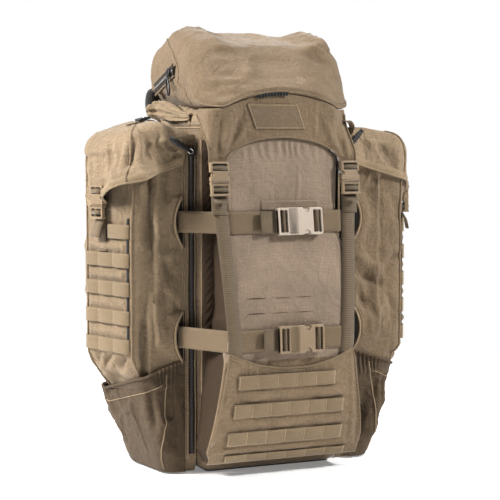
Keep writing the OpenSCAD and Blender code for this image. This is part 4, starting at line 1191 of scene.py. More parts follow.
females = []
for side, s in SIDES:
    move = up_front(s * LID_STRAP_X, LID_MOUTH_Z)
    females += [moved(p, move) for p in female_parts(NARROW)]
    piece(side + "_lid_male_half", male_parts(NARROW), move, "plastic", side + "_lid_male",
          side + "_lid_buckle_male")
    keeper = line_of(np.linspace(-26, -58, 16), 0.0, -1.0 + 0.6 * np.linspace(1, 0, 16))
    add(side + "_lid_keeper", [moved(strip_part(keeper, (0, 1, 0), NARROW + 2.4, 4.6, 0.4), move),
                               moved(tail_part(NARROW, 6)[0], move)],
        "strap", side + "_lid_male")
obj = sharp(add("lid_female_halves", females, "plastic", "lid"))
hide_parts("lid_buckle_females")


def make_lid_straps():
    parts = []
    z = np.linspace(PANEL_TOP - 18, LID_MOUTH_Z - 8, 90)
    k = (z - z[0]) / (z[-1] - z[0])
    x = LID_STRAP_FOOT + (LID_STRAP_X - LID_STRAP_FOOT) * k
    for s in (-1, 1):
        path = line_of(s * x, front_y(z) - LAYER_2, z)
        parts.append(strip_part(path, (1, 0, 0), NARROW, WEB_T))
    obj = add("lid_strap_webbing", parts, "strap", "pack")
    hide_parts("lid_straps")


make_lid_straps()


# Side pods

POD_FULL_Z = 212.0
POD_BEND = POD_D * 0.67
RIGHT_REACH = 1.15


def pod_side(part, side):
    """A pod's part on its side; the right pod is stuffed fuller than the left one."""
    if side < 0:
        return mirror(part)
    pts = np.asarray(part[0], float).copy()
    pts[:, 0] += np.maximum(0, pts[:, 0] - POD_IN - 20) * (RIGHT_REACH - 1)
    return pts, part[1], part[2]


def pod_line(line, side):
    return pod_side((line, [], None), side)[0]


def pod_share(z):
    return np.minimum(1.0, 0.46 + 0.54 * (np.minimum(z, POD_FULL_Z) / POD_FULL_Z) ** 1.25)


def pod_corners(k):
    w, s = POD_W * k, POD_SPLAY * k
    return [(POD_IN, POD_FRONT), (POD_IN + w - s, POD_FRONT), (POD_IN + w, POD_FRONT + POD_BEND),
            (POD_IN + w * 0.9, POD_REAR - 4), (POD_IN, POD_REAR)]


POD_COUNTS = (58, 44, 16, 38)


def pod_path(k, d, x_in=POD_IN):
    p = drawn_in(pod_corners(k), -d)
    pts = [(x_in, p[0][1]), p[1], p[2], p[3], (x_in, p[4][1])]
    radii = [0] + [max(r + d, 5) for r in (24, 30, 26)] + [0]
    return rounded_path(pts, radii, POD_COUNTS)


FACE_TURN = math.atan2(POD_BEND, POD_SPLAY)
FACE_L = math.hypot(POD_SPLAY, POD_BEND)
POD_X = POD_IN + POD_W - POD_SPLAY
POD_ROWS = [219.5 + i * ROW_PITCH for i in range(5)]
FLAP_BUCKLE_X = FACE_L * 0.62
SEAM_X = 214.0


def pod_face(along, out, z):
    """Points on the pod's outer face: along it to the rear, out from it, and up."""
    along, out = np.asarray(along, float), np.asarray(out, float)
    c, s = math.cos(FACE_TURN), math.sin(FACE_TURN)
    return line_of(POD_X + along * c + out * s, POD_FRONT + along * s - out * c, z)


def slim(P, s):
    """The pods narrow further towards their feet, the right one more."""
    z, amount = P[..., 2], 19 if s > 0 else 11
    P[..., 0] -= amount * step(z, 15, 50) * (1 - step(z, 135, 196)) * step(P[..., 0], 185, 270)


def rim_drop(x):
    return RIM_FALL * (x - POD_IN)


def make_pod(side, s, mat, seed):
    rows = []
    for z in np.concatenate([[1, 4, 8, 14], np.linspace(22, POD_FULL_Z, 40)]):
        d = np.interp(z, [1, 14, 30], [-10, -3, 0])
        rows.append(xyz(pod_path(float(pod_share(z)), d), z))
    path = pod_path(1.0, 0.0)
    for k in np.linspace(0, 1, 110)[1:]:
        rows.append(xyz(path, POD_FULL_Z + (POD_H - rim_drop(path[:, 0]) - POD_FULL_Z) * k))
    cloth = Cloth(rows, (190, -10, 300))
    P = cloth.P.copy()
    x, z = P[..., 0], P[..., 2]
    c = np.arange(P.shape[1])[None, :] * np.ones((P.shape[0], 1))
    a, b = POD_COUNTS[0] + 6, POD_COUNTS[0] + 8 + POD_COUNTS[1] + 2
    on_face = step(c, a, a + 4) * (1 - step(c, b - 4, b))
    between = np.zeros_like(z)
    for i in range(5):
        lo = POD_ROWS[i] + NARROW + 1
        hi = POD_ROWS[i] + ROW_PITCH - 1 if i < 4 else 560
        between = np.maximum(between, hump(z, lo, hi))
    between = np.maximum(between, hump(z, 160, 218))
    covered = step(z, 470, 505) * (s < 0)
    cloth.push(on_face * (6.5 * between * (1 - covered) * (0.7 + 0.6 * noise(P / 40,
        seed + 5)) - 0.6 - 4.5 * covered))
    corner = POD_COUNTS[0] + 4
    cloth.push(-9.0 * hump(c, corner - 16, corner + 14) * hump(z, 430, 590) * (s < 0))
    on_front = step(x, POD_IN + 24, POD_IN + 40) * (1 - step(c, POD_COUNTS[0] - 3, POD_COUNTS[0] + 4))
    free = step(z, 205, 250) * (1 - step(z, 560, 590))
    near_strap = np.maximum(hump(z, UPPER_Z - 70, UPPER_Z + 70), hump(z, LOWER_Z - 65, LOWER_Z + 65))
    calm = 1 - near_strap * (1 - step(x, 188, 204))
    flat = c < POD_COUNTS[0] - 2
    # Bound mouths from which the straps come out, standing off the pod's face
    for z0 in (UPPER_Z, LOWER_Z):
        bow = np.maximum(0, 1 - ((z - z0) / SLOT_HALF) ** 2)
        mouth = SLOT_X + SLOT_BOW * bow
        lip = step(x, mouth, mouth + 4) * (1 - step(x, mouth + 8, mouth + 40))
        cloth.push(SLOT_LIP * lip * bow ** 0.5 * flat)
    # Long pleats: the panel beside the seam laps over a deep fold
    if s < 0:
        lap = step(x, SEAM_X - 22, SEAM_X - 3) * (1 - step(x, SEAM_X - 1, SEAM_X + 6))
        sunk = step(x, SEAM_X - 1, SEAM_X + 7) * (1 - step(x, SEAM_X + 8, SEAM_X + 28))
        cloth.push(4.0 * lap * free - 17.0 * sunk * flat * hump(z, 356, 640) ** 0.6)
        low = step(x, 228, 236) * (1 - step(x, 238, 252))
        cloth.push(-14.0 * low * hump(z, 120, 345) ** 0.7)
    else:
        lap = step(x, SEAM_X - 20, SEAM_X) * (1 - step(x, SEAM_X, SEAM_X + 7))
        cloth.push(6.0 * lap * free * (0.8 + 0.4 * np.sin(z / 37)))
    cloth.crumple(4.4, 62, seed, on_front * free * calm, (0.8, 1, 2.6))
    cloth.crumple(1.8, 24, seed + 3, on_front * free * calm, (0.8, 1, 1.6))
    rear = step(c, b, b + 8)
    cloth.crumple(5.0, 70, seed + 7, rear * step(z, 40, 90) * (1 - step(z, 560, 590)) *
                  step(x, POD_IN + 8, POD_IN + 30), (1, 1, 1.8))
    lower = step(z, 20, 50) * (1 - step(z, 120, 150))
    cloth.crumple(-2.0, 50, seed + 9, lower * step(x, POD_IN + 20, POD_IN + 30))
    slack = hump(z, 140, 226) * step(c, POD_COUNTS[0] - 10, POD_COUNTS[0] + 6) * (1 - step(c, b, b + 12))
    cloth.crumple(-9.0, 40, seed + 13, slack, (1, 1, 0.8))
    f = POD_FRONT
    folds = [([(192, f, 548), (197, f, 510), (196, f, 480)], 6, -6.0),
             ([(204, f, 386), (192, f, 366), (180, f, 350)], 7, -7.0),
             ([(206, f, 350), (192, f, 330), (178, f, 316)], 8, 5.0),
             ([(178, f, 410), (192, f, 394), (206, f, 390)], 8, 5.0),
             ([(182, f, 316), (176, f, 300), (184, f, 288)], 5, -6.0),
             ([(206, f, 292), (200, f, 268), (188, f, 256)], 6, -6.0),
             ([(222, f, 330), (216, f, 300), (218, f, 260)], 7, 6.0)]
    if s > 0:
        folds = [([(176, f, 352), (196, f, 338), (226, f, 322)], 9, -8.0),
                 ([(176, f, 384), (198, f, 366), (222, f, 356)], 9, 5.5),
                 ([(238, f, 366), (248, f, 376), (258, f, 378)], 7, -6.0),
                 ([(236, f, 500), (250, f, 470), (254, f, 440)], 9, -5.0),
                 ([(178, f, 318), (192, f, 286), (212, f, 268)], 8, -7.0),
                 ([(232, f, 312), (246, f, 280), (240, f, 246)], 8, -7.0),
                 ([(222, f, 300), (216, f, 262), (206, f, 230)], 7, 5.0),
                 ([(190, f, 540), (206, f, 520), (222, f, 516)], 8, -4.0)]
    for row in folds + [
            (pod_face([14, 40, 62], 0, [216, 192, 176]), 9, -12.0),
            (pod_face([58, 78, 92], 0, [216, 198, 172]), 8, -11.0),
            (pod_face([92, 108, 122], 0, [214, 194, 180]), 8, -10.0),
            (pod_face([34, 52, 70], 0, [212, 206, 192]), 6, 5.0)]:
        cloth.fold(*row)
    slim(cloth.P, s)
    obj = add(side + "_pod_cloth", [pod_side(cloth.part(), s)], mat, "pack", "lining")
    thicken(obj, 0.8, lined=True)
    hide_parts(side + "_pod")
    P, n = cloth.P, cloth.normals()
    middle = P[0].mean(0)
    k = np.linspace(0, 1, 6)[:, None, None]
    under = P[0][None] * (1 - k) + (middle * [1, 1, 0] + [0, 0, 1.2])[None, None] * k
    add(side + "_pod_floor", [pod_side(grid_part(under, False, True), s)], mat, "pack")
    # Black tape at the outer face's front corner: partly its black binding, partly painted shade for the gap
    # at the rows' ends
    tape = P[50:118, corner + 2] + n[50:118, corner + 2] * 0.6
    add(side + "_pod_tape_and_painted_shade", [pod_side(tube_part(tape, 2.6, 8, squash=0.4, up=n[80, corner + 2]), s)],
        "black_web", "pack")
    rear_col = POD_COUNTS[0] + 8 + POD_COUNTS[1] + 4
    pipes = [pod_side(tube_part(P[24:, j] + n[24:, j] * 1.0, 2.0, 8), s) for j in (corner, rear_col)]
    add(side + "_pod_piping", pipes, mat, "pack")
    j = int(np.argmin(np.abs(x[60, :POD_COUNTS[0]] - SEAM_X - (2.6 if s > 0 else -2.6))))
    lines = [pod_line(P[46:-22, j + k] + n[46:-22, j + k] * 0.3, s) for k in (-3, 0)]
    lines.append(pod_line(P[40:, corner - 4] + n[40:, corner - 4] * 0.3, s))
    add(side + "_pod_stitches", [stitch_parts(lines, 4.5)], "thread", "pack")


def make_pod_rows():
    """Webbing round each pod's outer face, sewn down at intervals and proud between."""
    bands, tacks = [], []
    first, last = POD_COUNTS[0] + 5, POD_COUNTS[0] + 8 + POD_COUNTS[1] + 7
    for s in (-1, 1):
        for i, z0 in enumerate(POD_ROWS):
            path = pod_path(1.0, 0.0)[first:last]
            if i == 4:
                end = POD_FRONT + (FLAP_BUCKLE_X - 14) * math.sin(FACE_TURN)
                path = path[:np.argmax(path[:, 1] > end)]
            d = np.gradient(path, axis=0)
            out = unit(np.column_stack([d[:, 1], -d[:, 0]]))
            length = lengths(path)
            fine = np.linspace(0, length[-1], int(length[-1] / 2))
            path, out = ([np.interp(fine, length, v[:, j]) for j in range(2)] for v in (path, out))
            path, out = np.column_stack(path), np.column_stack(out)
            k = max(1, round(length[-1] / TACK_PITCH))
            puff = 0.8 + (3.4 if s < 0 else 1.4) * np.abs(np.sin(np.pi * fine / length[-1] * k)) ** 0.6
            base = path + out * puff[:, None]
            P = np.stack([xyz(base, z0 + NARROW * h) for h in np.linspace(0, 1, 7)], 0)
            bands.append(pod_side(solid_sheet(P, WEB_T, (1, -0.3, 0)), s))
            for j in range(k + 1):
                m = min(max(int(len(fine) * j / k), 1), len(fine) - 2)
                p = path[m] + out[m] * (WEB_T + 0.8)
                line = xyz(np.tile(p, (6, 1)), np.linspace(z0 + 1.5, z0 + NARROW - 1.5, 6))
                tacks.append(pod_side(tube_part(line, 0.9, 6), s))
    obj = add("pod_webbing", bands, "web", "pack")
    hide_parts("pod_webbing_rows")
    add("pod_bartacks", tacks, "thread", "pack")


make_pod("left", -1, "light", 31)
make_pod("right", 1, "tan", 57)
make_pod_rows()


# Stretch pockets round the feet of the pods

POCKET_SEAM = POD_IN + 22


def pocket_path(k, g, d):
    p = pod_corners(k)
    pts = [(POCKET_SEAM, POD_FRONT - SEAT - d), (p[1][0] + g * 0.7 + d * 0.8, POD_FRONT - g - d),
           (p[2][0] + g + d, p[2][1]), (p[3][0] + g * 0.7 + d * 0.8, POD_REAR + g * 0.7 + d),
           (POCKET_SEAM, POD_REAR + SEAT + d)]
    return rounded_path(pts, [0, 26 + d, 34 + d, 30 + d, 0], (48, 40, 16, 34))


def level(P, heights):
    """The line across a grid at one height for each column."""
    return np.array([[np.interp(h, P[:, j, 2], P[:, j, i]) for i in range(3)] for j, h in enumerate(heights)])


def make_pod_pocket(side, s, seed):
    rows = []
    for z in np.concatenate([[3, 6, 10], np.linspace(16, 145, 44)]):
        g = 0.6 + 13.4 * min(1, z / 60) - 3 * float(step(z, 80, 145))
        rows.append(xyz(pocket_path(float(pod_share(z)), g, 2.5), z))
    last = rows[-1]
    top = pocket_path(float(pod_share(160)), 5.0, 2.5)
    rise = 205 - 0.35 * (top[:, 0] - POCKET_SEAM) - 0.17 * np.maximum(0, top[:, 1] - POD_FRONT - 10)
    rim = xyz(top, rise)
    for k in np.linspace(0, 1, 22)[1:]:
        rows.append(last * (1 - k) + rim * k)
    cloth = Cloth(rows, (190, -10, 90))
    P = cloth.P.copy()
    x = P[..., 0]
    v = np.linspace(0, 1, P.shape[0])[:, None] * np.ones(P.shape[1])
    open_part = step(x, POCKET_SEAM + 4, POCKET_SEAM + 26)
    cloth.push(-1.5 * hump(v, 0.66, 0.84) * open_part + 3.0 * hump(v, 0.2, 0.75) * open_part)
    cloth.crumple(6.5, 56, seed, open_part * step(v, 0.08, 0.25) * (1 - step(v, 0.75, 0.9)), (1, 1, 1.6))
    cloth.crumple(1.6, 22, seed + 4, open_part * step(v, 0.08, 0.25) * (1 - step(v, 0.8, 0.95)))
    for row in (
            ([(240, -112, 160), (234, -112, 110), (228, -108, 62)], 12, -13.0),
            ([(256, -106, 140), (250, -108, 96), (242, -106, 60)], 9, 6.0),
            ([(222, -112, 150), (218, -112, 108), (214, -108, 66)], 8, 6.0),
            ([(190, -106, 130), (184, -104, 90), (186, -102, 56)], 9, -9.0),
            ([(176, -106, 150), (172, -104, 110), (174, -102, 70)], 7, 4.0),
            ([(270, -60, 130), (262, -62, 100), (252, -64, 64)], 11, 4.0),
            ([(258, -90, 146), (262, -88, 120), (254, -88, 92)], 8, -5.0)):
        cloth.fold(*row)
    col = np.arange(P.shape[1])[None, :] * np.ones((P.shape[0], 1))
    gather = step(v, 0.70, 0.93) * (1 - step(x, 204, 226)) * open_part * (col < 60)
    cloth.push(2.6 * np.sin(x / 7.5 * 2 * np.pi + 1.2 * noise(P / 20, seed)) * gather)
    flat = (col < POD_COUNTS[0] - 12) * (x < 250)
    most = np.where(flat, POD_FRONT - 4.0 + 3.4 * (1 - open_part), np.inf)
    cloth.P[..., 1] = np.minimum(cloth.P[..., 1], most)
    slim(cloth.P, s)
    obj = add(side + "_stretch_pocket", [pod_side(cloth.part(), s)], "stretch", "pack", "lining")
    thicken(obj, 0.8, lined=True)
    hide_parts(side + "_pod_pocket")
    P, n = cloth.P, cloth.normals()
    hem = P[-1] + n[-1] * 0.6
    near = (np.arange(len(hem)) < 60) * (1 - step(hem[:, 0], 200, 226))
    wobble = 2.4 + 1.1 * np.sin(hem[:, 0] / 7.5 * 2 * np.pi) * near
    front = slice(0, POD_COUNTS[0] - 4)
    seam = []
    for r in range(2, P.shape[0] - 1):
        at = 210 - 13 * r / P.shape[0]
        seam.append([np.interp(at, P[r, front, 0], P[r, front, i] + n[r, front, i] * 0.8) for i in range(3)])
    seam = settle(cloth, smooth(np.array(seam)[::5], 60), 0.7)
    hem = add(side + "_pocket_hem", [pod_side(tube_part(hem, wobble, 8), s)], "stretch", "pack")
    declare_sheet(pod_line(P.reshape(-1, 3), s).reshape(P.shape))
    add(side + "_pocket_seam", [pod_side(tube_part(seam, 1.1, 8), s)], "binding", "pack")
    line = level(P + n * 0.5, P[-1, :, 2] - 25)
    begin = int(np.argmax(line[:, 0] > 206))
    add(side + "_pocket_stitches", [pod_side(tube_part(line[begin:-6], 0.7, 6), s)], "thread", "pack")


make_pod_pocket("left", -1, 71)
make_pod_pocket("right", 1, 83)


# Flaps

FLAP_Z, FLAP_H, FLAP_HINGE_X = POD_H + SEAT, 26.0, POD_IN + 3
SKIRT_START, SKIRT_Z = POD_IN + 20, POD_H - 44
FLAP_MOUTH_Z = SKIRT_Z - 74
SKIRT_POINT = POD_D * 0.56


def flap_turn_x(share):
    return FLAP_HINGE_X + 4 + (FLAP_H * share - 2) * math.tan(math.radians(50))


def skirt_edge(p):
    """Height of a flap's lower edge along its outline."""
    slant = SKIRT_Z - 0.33 * (np.minimum(p[:, 0], POD_X) - SKIRT_START)
    y = p[:, 1] - POD_FRONT
    t = (y - SKIRT_POINT) / np.where(y < SKIRT_POINT, SKIRT_POINT, POD_D * 0.42)
    low = slant - 48 * np.maximum(0, 1 - np.abs(t) ** 1.5)
    shut = FLAP_Z - rim_drop(p[:, 0]) - 0.02
    k = step(p[:, 0], SKIRT_START - 3, SKIRT_START + 9)
    return shut * (1 - k) + low * k


def make_flap(side, s, mat, seed):
    body = side + "_flap_body"
    outer = pod_path(1.0, 6.0, FLAP_HINGE_X)
    edge = skirt_edge(outer)
    rings = []
    crown = pod_path(1.0, -24.0, flap_turn_x(1.0))
    core = np.column_stack([np.clip(crown[:, 0], flap_turn_x(1.0), 240), np.full(len(crown), -10.0)])
    top_z = FLAP_Z + FLAP_H
    for k in np.linspace(0, 1, 12)[:-1]:
        p = core * (1 - k) + crown * k
        rings.append(xyz(p, top_z - rim_drop(p[:, 0])))
    for d, share, fall in ((-24, 1.0, 0), (-16, 0.97, 0.6), (-9, 0.9, 2.5), (-4, 0.8, 5), (0, 0.65, 9),
                           (3, 0.45, 13.5), (5, 0.25, 18)):
        p = pod_path(1.0, d, flap_turn_x(share))
        rings.append(xyz(p, top_z - fall - rim_drop(p[:, 0])))
    rings.append(xyz(outer, FLAP_Z + 5 - rim_drop(outer[:, 0])))
    start = rings[-1][:, 2]
    for k in np.linspace(0, 1, 36)[1:]:
        rings.append(xyz(outer, start + (edge - start) * k))
    P = np.array(rings)
    # The crown stands up over what the pod holds, clear of the lid when the flap swings
    lift = (17 if s < 0 else 3) * step(P[..., 0], 172, 214) - (5 if s < 0 else 8) * step(P[..., 0], 236, 305)
    P[..., 2] += lift * step(P[..., 2], FLAP_Z - 22, FLAP_Z + 12)
    cloth = Cloth(P, (200, -10, 560))
    P = cloth.P.copy()
    x, y = P[..., 0], P[..., 1]
    rows = np.arange(P.shape[0])[:, None] * np.ones(P.shape[1])
    away = step(x, FLAP_HINGE_X + 8, FLAP_HINGE_X + 40)
    last = P.shape[0] - 1
    skirt = step(rows, 16, 24) * (1 - step(rows, last - 4, last))
    # The front corner of the skirt stands off the pod, so its dark inside shows
    flare = step(rows, 22, last) * step(x, 206, 250) * (1 - step(y, -60, -30))
    cloth.push((26.0 if s < 0 else 2.0) * flare)
    face = step(y, POD_FRONT + 24, POD_FRONT + 50)
    bulge = (1.5 if s < 0 else 6.0) * hump(rows, 10, 22) - 6.5 * step(rows, 13, 22)
    cloth.push(face * step(x, 240, 280) * bulge)
    crown_share = 1 - step(rows, 10, 20)
    cloth.crumple(5.0, 52, seed, away * (0.8 * skirt + 0.9 * crown_share) * (1 - 0.7 * face))
    cloth.crumple(1.8, 22, seed + 6, away * (skirt + 0.6 * crown_share))
    f = POD_FRONT - 8
    folds = [([(242, f, 606), (232, f, 586), (236, f, 560)], 7, -6.5),
             ([(206, f, 612), (216, f, 592), (208, f, 572)], 5, -6.0),
             ([(196, f, 600), (206, f, 594), (228, f, 590)], 6, 5.0),
             ([(250, f, 612), (244, f, 588), (252, f, 552)], 8, 5.5),
             ([(186, f, 590), (178, f, 572), (190, f, 560)], 6, -5.0),
             ([(254, f, 616), (260, f, 585), (268, f, 540)], 5, -10.0),
             ([(264, f + 4, 616), (272, f + 8, 585), (278, f + 12, 540)], 6, 7.0),
             ([(272, -80, 590), (274, -82, 552), (276, -80, 515)], 8, -6.0),
             ([(282, -50, 600), (284, -50, 560), (286, -48, 510)], 8, -5.0)]
    if s > 0:
        folds = [([(196, f, 604), (222, f, 600), (250, f, 598)], 7, -6.0),
                 ([(212, f, 590), (224, f, 570), (232, f, 548)], 7, -5.5),
                 ([(180, f, 604), (190, f, 584), (186, f, 566)], 7, -5.0),
                 ([(240, f, 580), (250, f, 560), (248, f, 540)], 8, 4.0)]
    for row in folds:
        cloth.fold(*row)
    obj = add(side + "_flap_cloth", [pod_side(cloth.part(), s)], mat, body, "lining")
    thicken(obj, 1.0, lined=True)
    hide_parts(side + "_flap")
    P, n = cloth.P, cloth.normals()
    first = int(np.argmax(outer[:, 0] > SKIRT_START + 2))
    rim, out = P[-1, first:-8], n[-3, first:-8]
    tape = np.stack([level(P[-14:, first:-8][::-1], rim[:, 2] + h) + out * d
                     for h, d in ((13.0, 0.6), (12.0, 1.4), (1.0, 1.4), (0.2, 0.6))], 0)
    band = grid_part(tape, False, (grid_normals(tape, False) * out).sum() < 0)
    corner = POD_COUNTS[0] + 4
    seam = tube_part(P[8:-2, corner] + n[8:-2, corner] * 0.8, 2.0, 8)
    edge_tube = tube_part(rim + out * 0.2, 2.0, 8)
    add(side + "_flap_binding", [pod_side(part, s) for part in (band, edge_tube)], "binding", body)
    add(side + "_flap_seam", [pod_side(seam, s)], mat, body)
    lines = [pod_line(tape[0] + out * 0.5 + [0, 0, -2.0], s),
             pod_line(P[10:-4, corner - 4] + n[10:-4, corner - 4] * 0.4, s)]
    add(side + "_flap_stitches", [stitch_parts(lines, 4.0)], "thread", body)
    return cloth


LEFT_FLAP = make_flap("left", -1, "flap", 101)
make_flap("right", 1, "flap", 131)


def make_flap_trim():
    """A short webbing with its ladder lock, lying on the crown of the left flap."""
    x = np.linspace(186, 252, 40)
    top = settle(LEFT_FLAP, line_of(x, -38.0, 640.0), 1.4)
    add("flap_trim_webbing", [mirror(strip_part(top, (0, 1, 0), 20, 1.8))], "web", "left_flap_body")
    at, along = top[20] + [0, 0, 2.2], top[24] - top[16]
    along = unit(along)
    out = np.cross(along, [0, 1.0, 0])

    def move(p):
        return at + p[:, [0]] * along + p[:, [1]] * np.array([0, 1.0, 0]) + p[:, [2]] * out
    lock = [plate_part([rect(-11, -14, 11, 14, 3), rect(-7, -10.5, -2, 10.5, 1)[::-1],
                        rect(2, -10.5, 7, 10.5, 1)[::-1]], 0, 4.2, 0.8)]
    fix_normals(sharp(add("flap_trim_lock", [mirror(moved(q, move)) for q in lock], "black",
                          "left_flap_body")))
    bar = at + np.linspace(-9, 9, 10)[:, None] * np.array([0, 1.0, 0]) + out * 4.6
    add("flap_trim_bar", [mirror(tube_part(bar, 1.5, 8))], "steel", "left_flap_body")


def flap_buckle_move(s):
    """Move for a flap's buckle, female half upwards on the outer face."""
    def move(p):
        return pod_line(pod_face(FLAP_BUCKLE_X - p[:, 1], 6.3 + p[:, 2], FLAP_MOUTH_Z + p[:, 0]), s)
    return move


for side, s in SIDES:
    move = flap_buckle_move(s)
    flap = side + "_flap"
    buckle(flap, flap, NARROW, move, "plastic", (flap + "_body", flap + "_male"), s)
    add(flap + "_tab", [moved(mirrored_faces(loop_part(NARROW), s), move)], "web", flap + "_body")
    tail = [moved(mirrored_faces(p, s), move) for p in tail_part(NARROW, 26)]
    add(flap + "_tail", tail, "web", flap + "_male")

mouth = FLAP_MOUTH_Z
foot = POD_ROWS[3] + NARROW + 1
parts = []
for s in (-1, 1):
    route = smooth([(0.3, foot), (0.3, foot + 8), (2.0, foot + 22), (4.0, mouth - 24), (4.0, mouth - 8)], 30)
    path = pod_face(np.full(30, FLAP_BUCKLE_X), route[:, 0], route[:, 1])
    across = pod_face(1, 0, 0) - pod_face(0, 0, 0)
    parts.append(pod_side(strip_part(path, -across, NARROW, 1.8), s))
obj = add("flap_strap_webbing", parts, "strap", "pack")
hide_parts("flap_straps")


# Zips

def coil_parts(start, end, across, out, pitch=2.4, width=5.6):
    """Teeth of a coil zip from start to end, alternating from side to side."""
    start, end, across, out = (np.asarray(v, float) for v in (start, end, across, out))
    d = end - start
    length = np.linalg.norm(d)
    d /= length
    pts, faces, k = [], [], 0
    for i in range(int(length / pitch)):
        m = start + d * pitch * (i + 0.5) + across * (0.5 if i % 2 else -0.5)
        a, b, c = d * pitch * 0.36, across * width / 2, out * 0.9
        for sa, sb, lift in ((-1, -1, 0), (1, -1, 0), (1, 1, 0), (-1, 1, 0),
                             (-0.6, -0.8, 1.6), (0.6, -0.8, 1.6), (0.6, 0.8, 1.6), (-0.6, 0.8, 1.6)):
            pts.append(m + a * sa + b * sb + c * lift)
        for f in ((3, 2, 1, 0), (4, 5, 6, 7), (0, 1, 5, 4), (1, 2, 6, 5), (2, 3, 7, 6), (3, 0, 4, 7)):
            faces.append([k + j for j in f])
        k += 8
    return np.array(pts), faces, None


def slider_parts(turn, length=34.0, ring_pull=False):
    """Slider and puller: the zip's face is at Y = 0, the front at -Y, Z along the zip."""
    def frame_move(p):
        return line_of(p[:, 0], -p[:, 2] - SEAT, p[:, 1])
    body = [(-4.2, -7.6), (4.2, -7.6), (5.6, -3), (5.8, 4), (3.4, 7.6), (-3.4, 7.6), (-5.8, 4), (-5.6, -3)]
    parts = [moved(plate_part([body], 0.2, 4.4, 0.9), frame_move),
             moved(plate_part([rect(-1.5, -5, 1.5, 5, 1)], 4.2, 6.0, 0.5), frame_move)]
    a = math.radians(turn)

    def swing(p):
        return line_of(p[:, 0] * math.cos(a) + p[:, 2] * math.sin(a), p[:, 1],
                       -p[:, 0] * math.sin(a) + p[:, 2] * math.cos(a))
    t = np.linspace(0, 2 * math.pi, 25)[:-1]
    ring = line_of(4.0 * np.sin(t), -6.6, 5.0 - 5.6 * np.cos(t))
    loop = moved(tube_part(ring, 0.9, 8, True), swing)
    if ring_pull:
        t = np.linspace(0, 2 * math.pi, 41)[:-1]
        oval = line_of(6.5 * np.sin(t) * (1 - 0.35 * np.cos(t)), -7.0,
                       9 + length / 2 - length / 2 * np.cos(t))
        return parts, [loop], [moved(tube_part(oval, 1.9, 8, True), swing)]
    zs = np.linspace(8, length + 8, 80)
    k = (zs - zs[0]) / (zs[-1] - zs[0])
    shape = 5.6 * np.clip(np.sin(np.pi * (0.10 + 0.82 * k)), 0.35, 1) ** 0.4
    knurl = 1 + 0.12 * np.sign(np.sin(k * 2 * np.pi * 9)) * (k > 0.2) * (k < 0.9)
    grip_path = line_of(0.0, -6.8 - 6.0 * k, zs)
    grip = moved(tube_part(grip_path, shape * knurl, 12, squash=0.5, up=(0, 1, 0)), swing)
    return parts, [loop], [grip]


def place_slider(name, body, move, turn, flip, head_mat, loop_mat, grip_mat, node_name, length=34.0,
                 ring_pull=False):
    parts, loops, grips = slider_parts(turn, length, ring_pull)
    parts, loops, grips = ([moved(mirrored_faces(p, -1 if flip else 1), move) for p in group]
                           for group in (parts, loops, grips))
    obj = sharp(add(name + "_head", parts, head_mat, body))
    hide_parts(node_name)
    add(name + "_bail", loops, loop_mat, body)
    add(name + "_grip", grips, grip_mat, body)


def make_side_zips():
    tapes, coils = [], []
    z0, z1 = 34.0, 586.0
    face = POD_FRONT - SEAT - 1.6
    for side, s in SIDES:
        z = np.linspace(z0, z1, 80)
        path = line_of(SIDE_ZIP_X - 2, POD_FRONT - SEAT, z)
        tapes.append(side_of(strip_part(path, (1, 0, 0), 20.0, 1.6), s))
        coil = coil_parts((SIDE_ZIP_X, face, z0), (SIDE_ZIP_X, face, z1), (1, 0, 0), (0, -1, 0))
        coils.append(side_of(coil, s))

        def move(p, s=s):
            return (p + [SIDE_ZIP_X, face - 1.6, 574.0]) * [s, 1, 1]
        place_slider(side + "_side_slider", side + "_slider", move, 60 if s < 0 else 40, s < 0,
                     "black", "steel", "black", side + "_zip_slider", 44.0)
    obj = add("side_zip_tapes", tapes, "zip_tape", "pack")
    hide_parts("side_zips")
    add("side_zip_coils", coils, "coil", "pack")
    folds = []
    for s in (-1, 1):
        z = np.linspace(z0 - 8, z1 + 2, 80)
        for x, r in ((142.4, 1.5), (156.8, 2.0), (161.0, 1.8), (165.0, 1.5)):
            welt = line_of(x + 0.5 * np.sin(z / 23), POD_FRONT - 1.4, z)
            folds.append(side_of(tube_part(welt, r, 8, squash=0.8, up=(0, 1, 0)), s))
    add("side_zip_welts", folds, "light", "pack")


def make_pocket_zip():
    x, y, z0, z1 = 114.3, -142.0, 314.0, 556.0
    z = np.linspace(z0, z1, 60)
    path = line_of(x, y, z)
    obj = add("pocket_zip_tape", [strip_part(path, (0, 1, 0), 20, 1.6)], "zip_tape", "pack")
    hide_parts("pocket_zip")
    add("pocket_zip_coil", [coil_parts((x + 1.6, y, z0), (x + 1.6, y, z1), (0, 1, 0), (1, 0, 0))], "coil",
        "pack")

    def move(p):
        return line_of(x + 3.2 - p[:, 1], y + p[:, 0], z1 - 12 + p[:, 2])
    place_slider("pocket_slider", "pocket_slider", move, 180, False, "steel", "steel", "steel",
                 "pocket_zip_slider")


make_side_zips()
make_pocket_zip()


# The lid

def lid_corners(x):
    arch = LID_ARCH * max(0, 1 - (x / LID_ARCH_HALF) ** 2)
    dip = -14 * max(0, 1 - (x / 96) ** 2)
    front = LID_FRONT + 22 * (max(0, abs(x) - LID_END * 0.6) / (LID_END * 0.4)) ** 2
    return [(front, LID_Z + arch), (LID_BACK - 6, LID_Z + 0.4), (LID_BACK, LID_Z + LID_H * 0.78),
            (BAG_BACK * 0.42, LID_Z + LID_H + 4 + dip), (front + 100, LID_Z + LID_H * 0.84 + dip)]


def lid_ring(x, d):
    """Section of the lid at x, drawn in by d."""
    radii = np.array([6, 12, 40, 44, 70]) - np.array([1, 4, 4, 4, 4]) * d / 4
    pts = rounded_ring(drawn_in(lid_corners(x), d), radii, (60, 30, 16, 20, 44), 8)
    return np.column_stack([np.full(len(pts), x), pts])


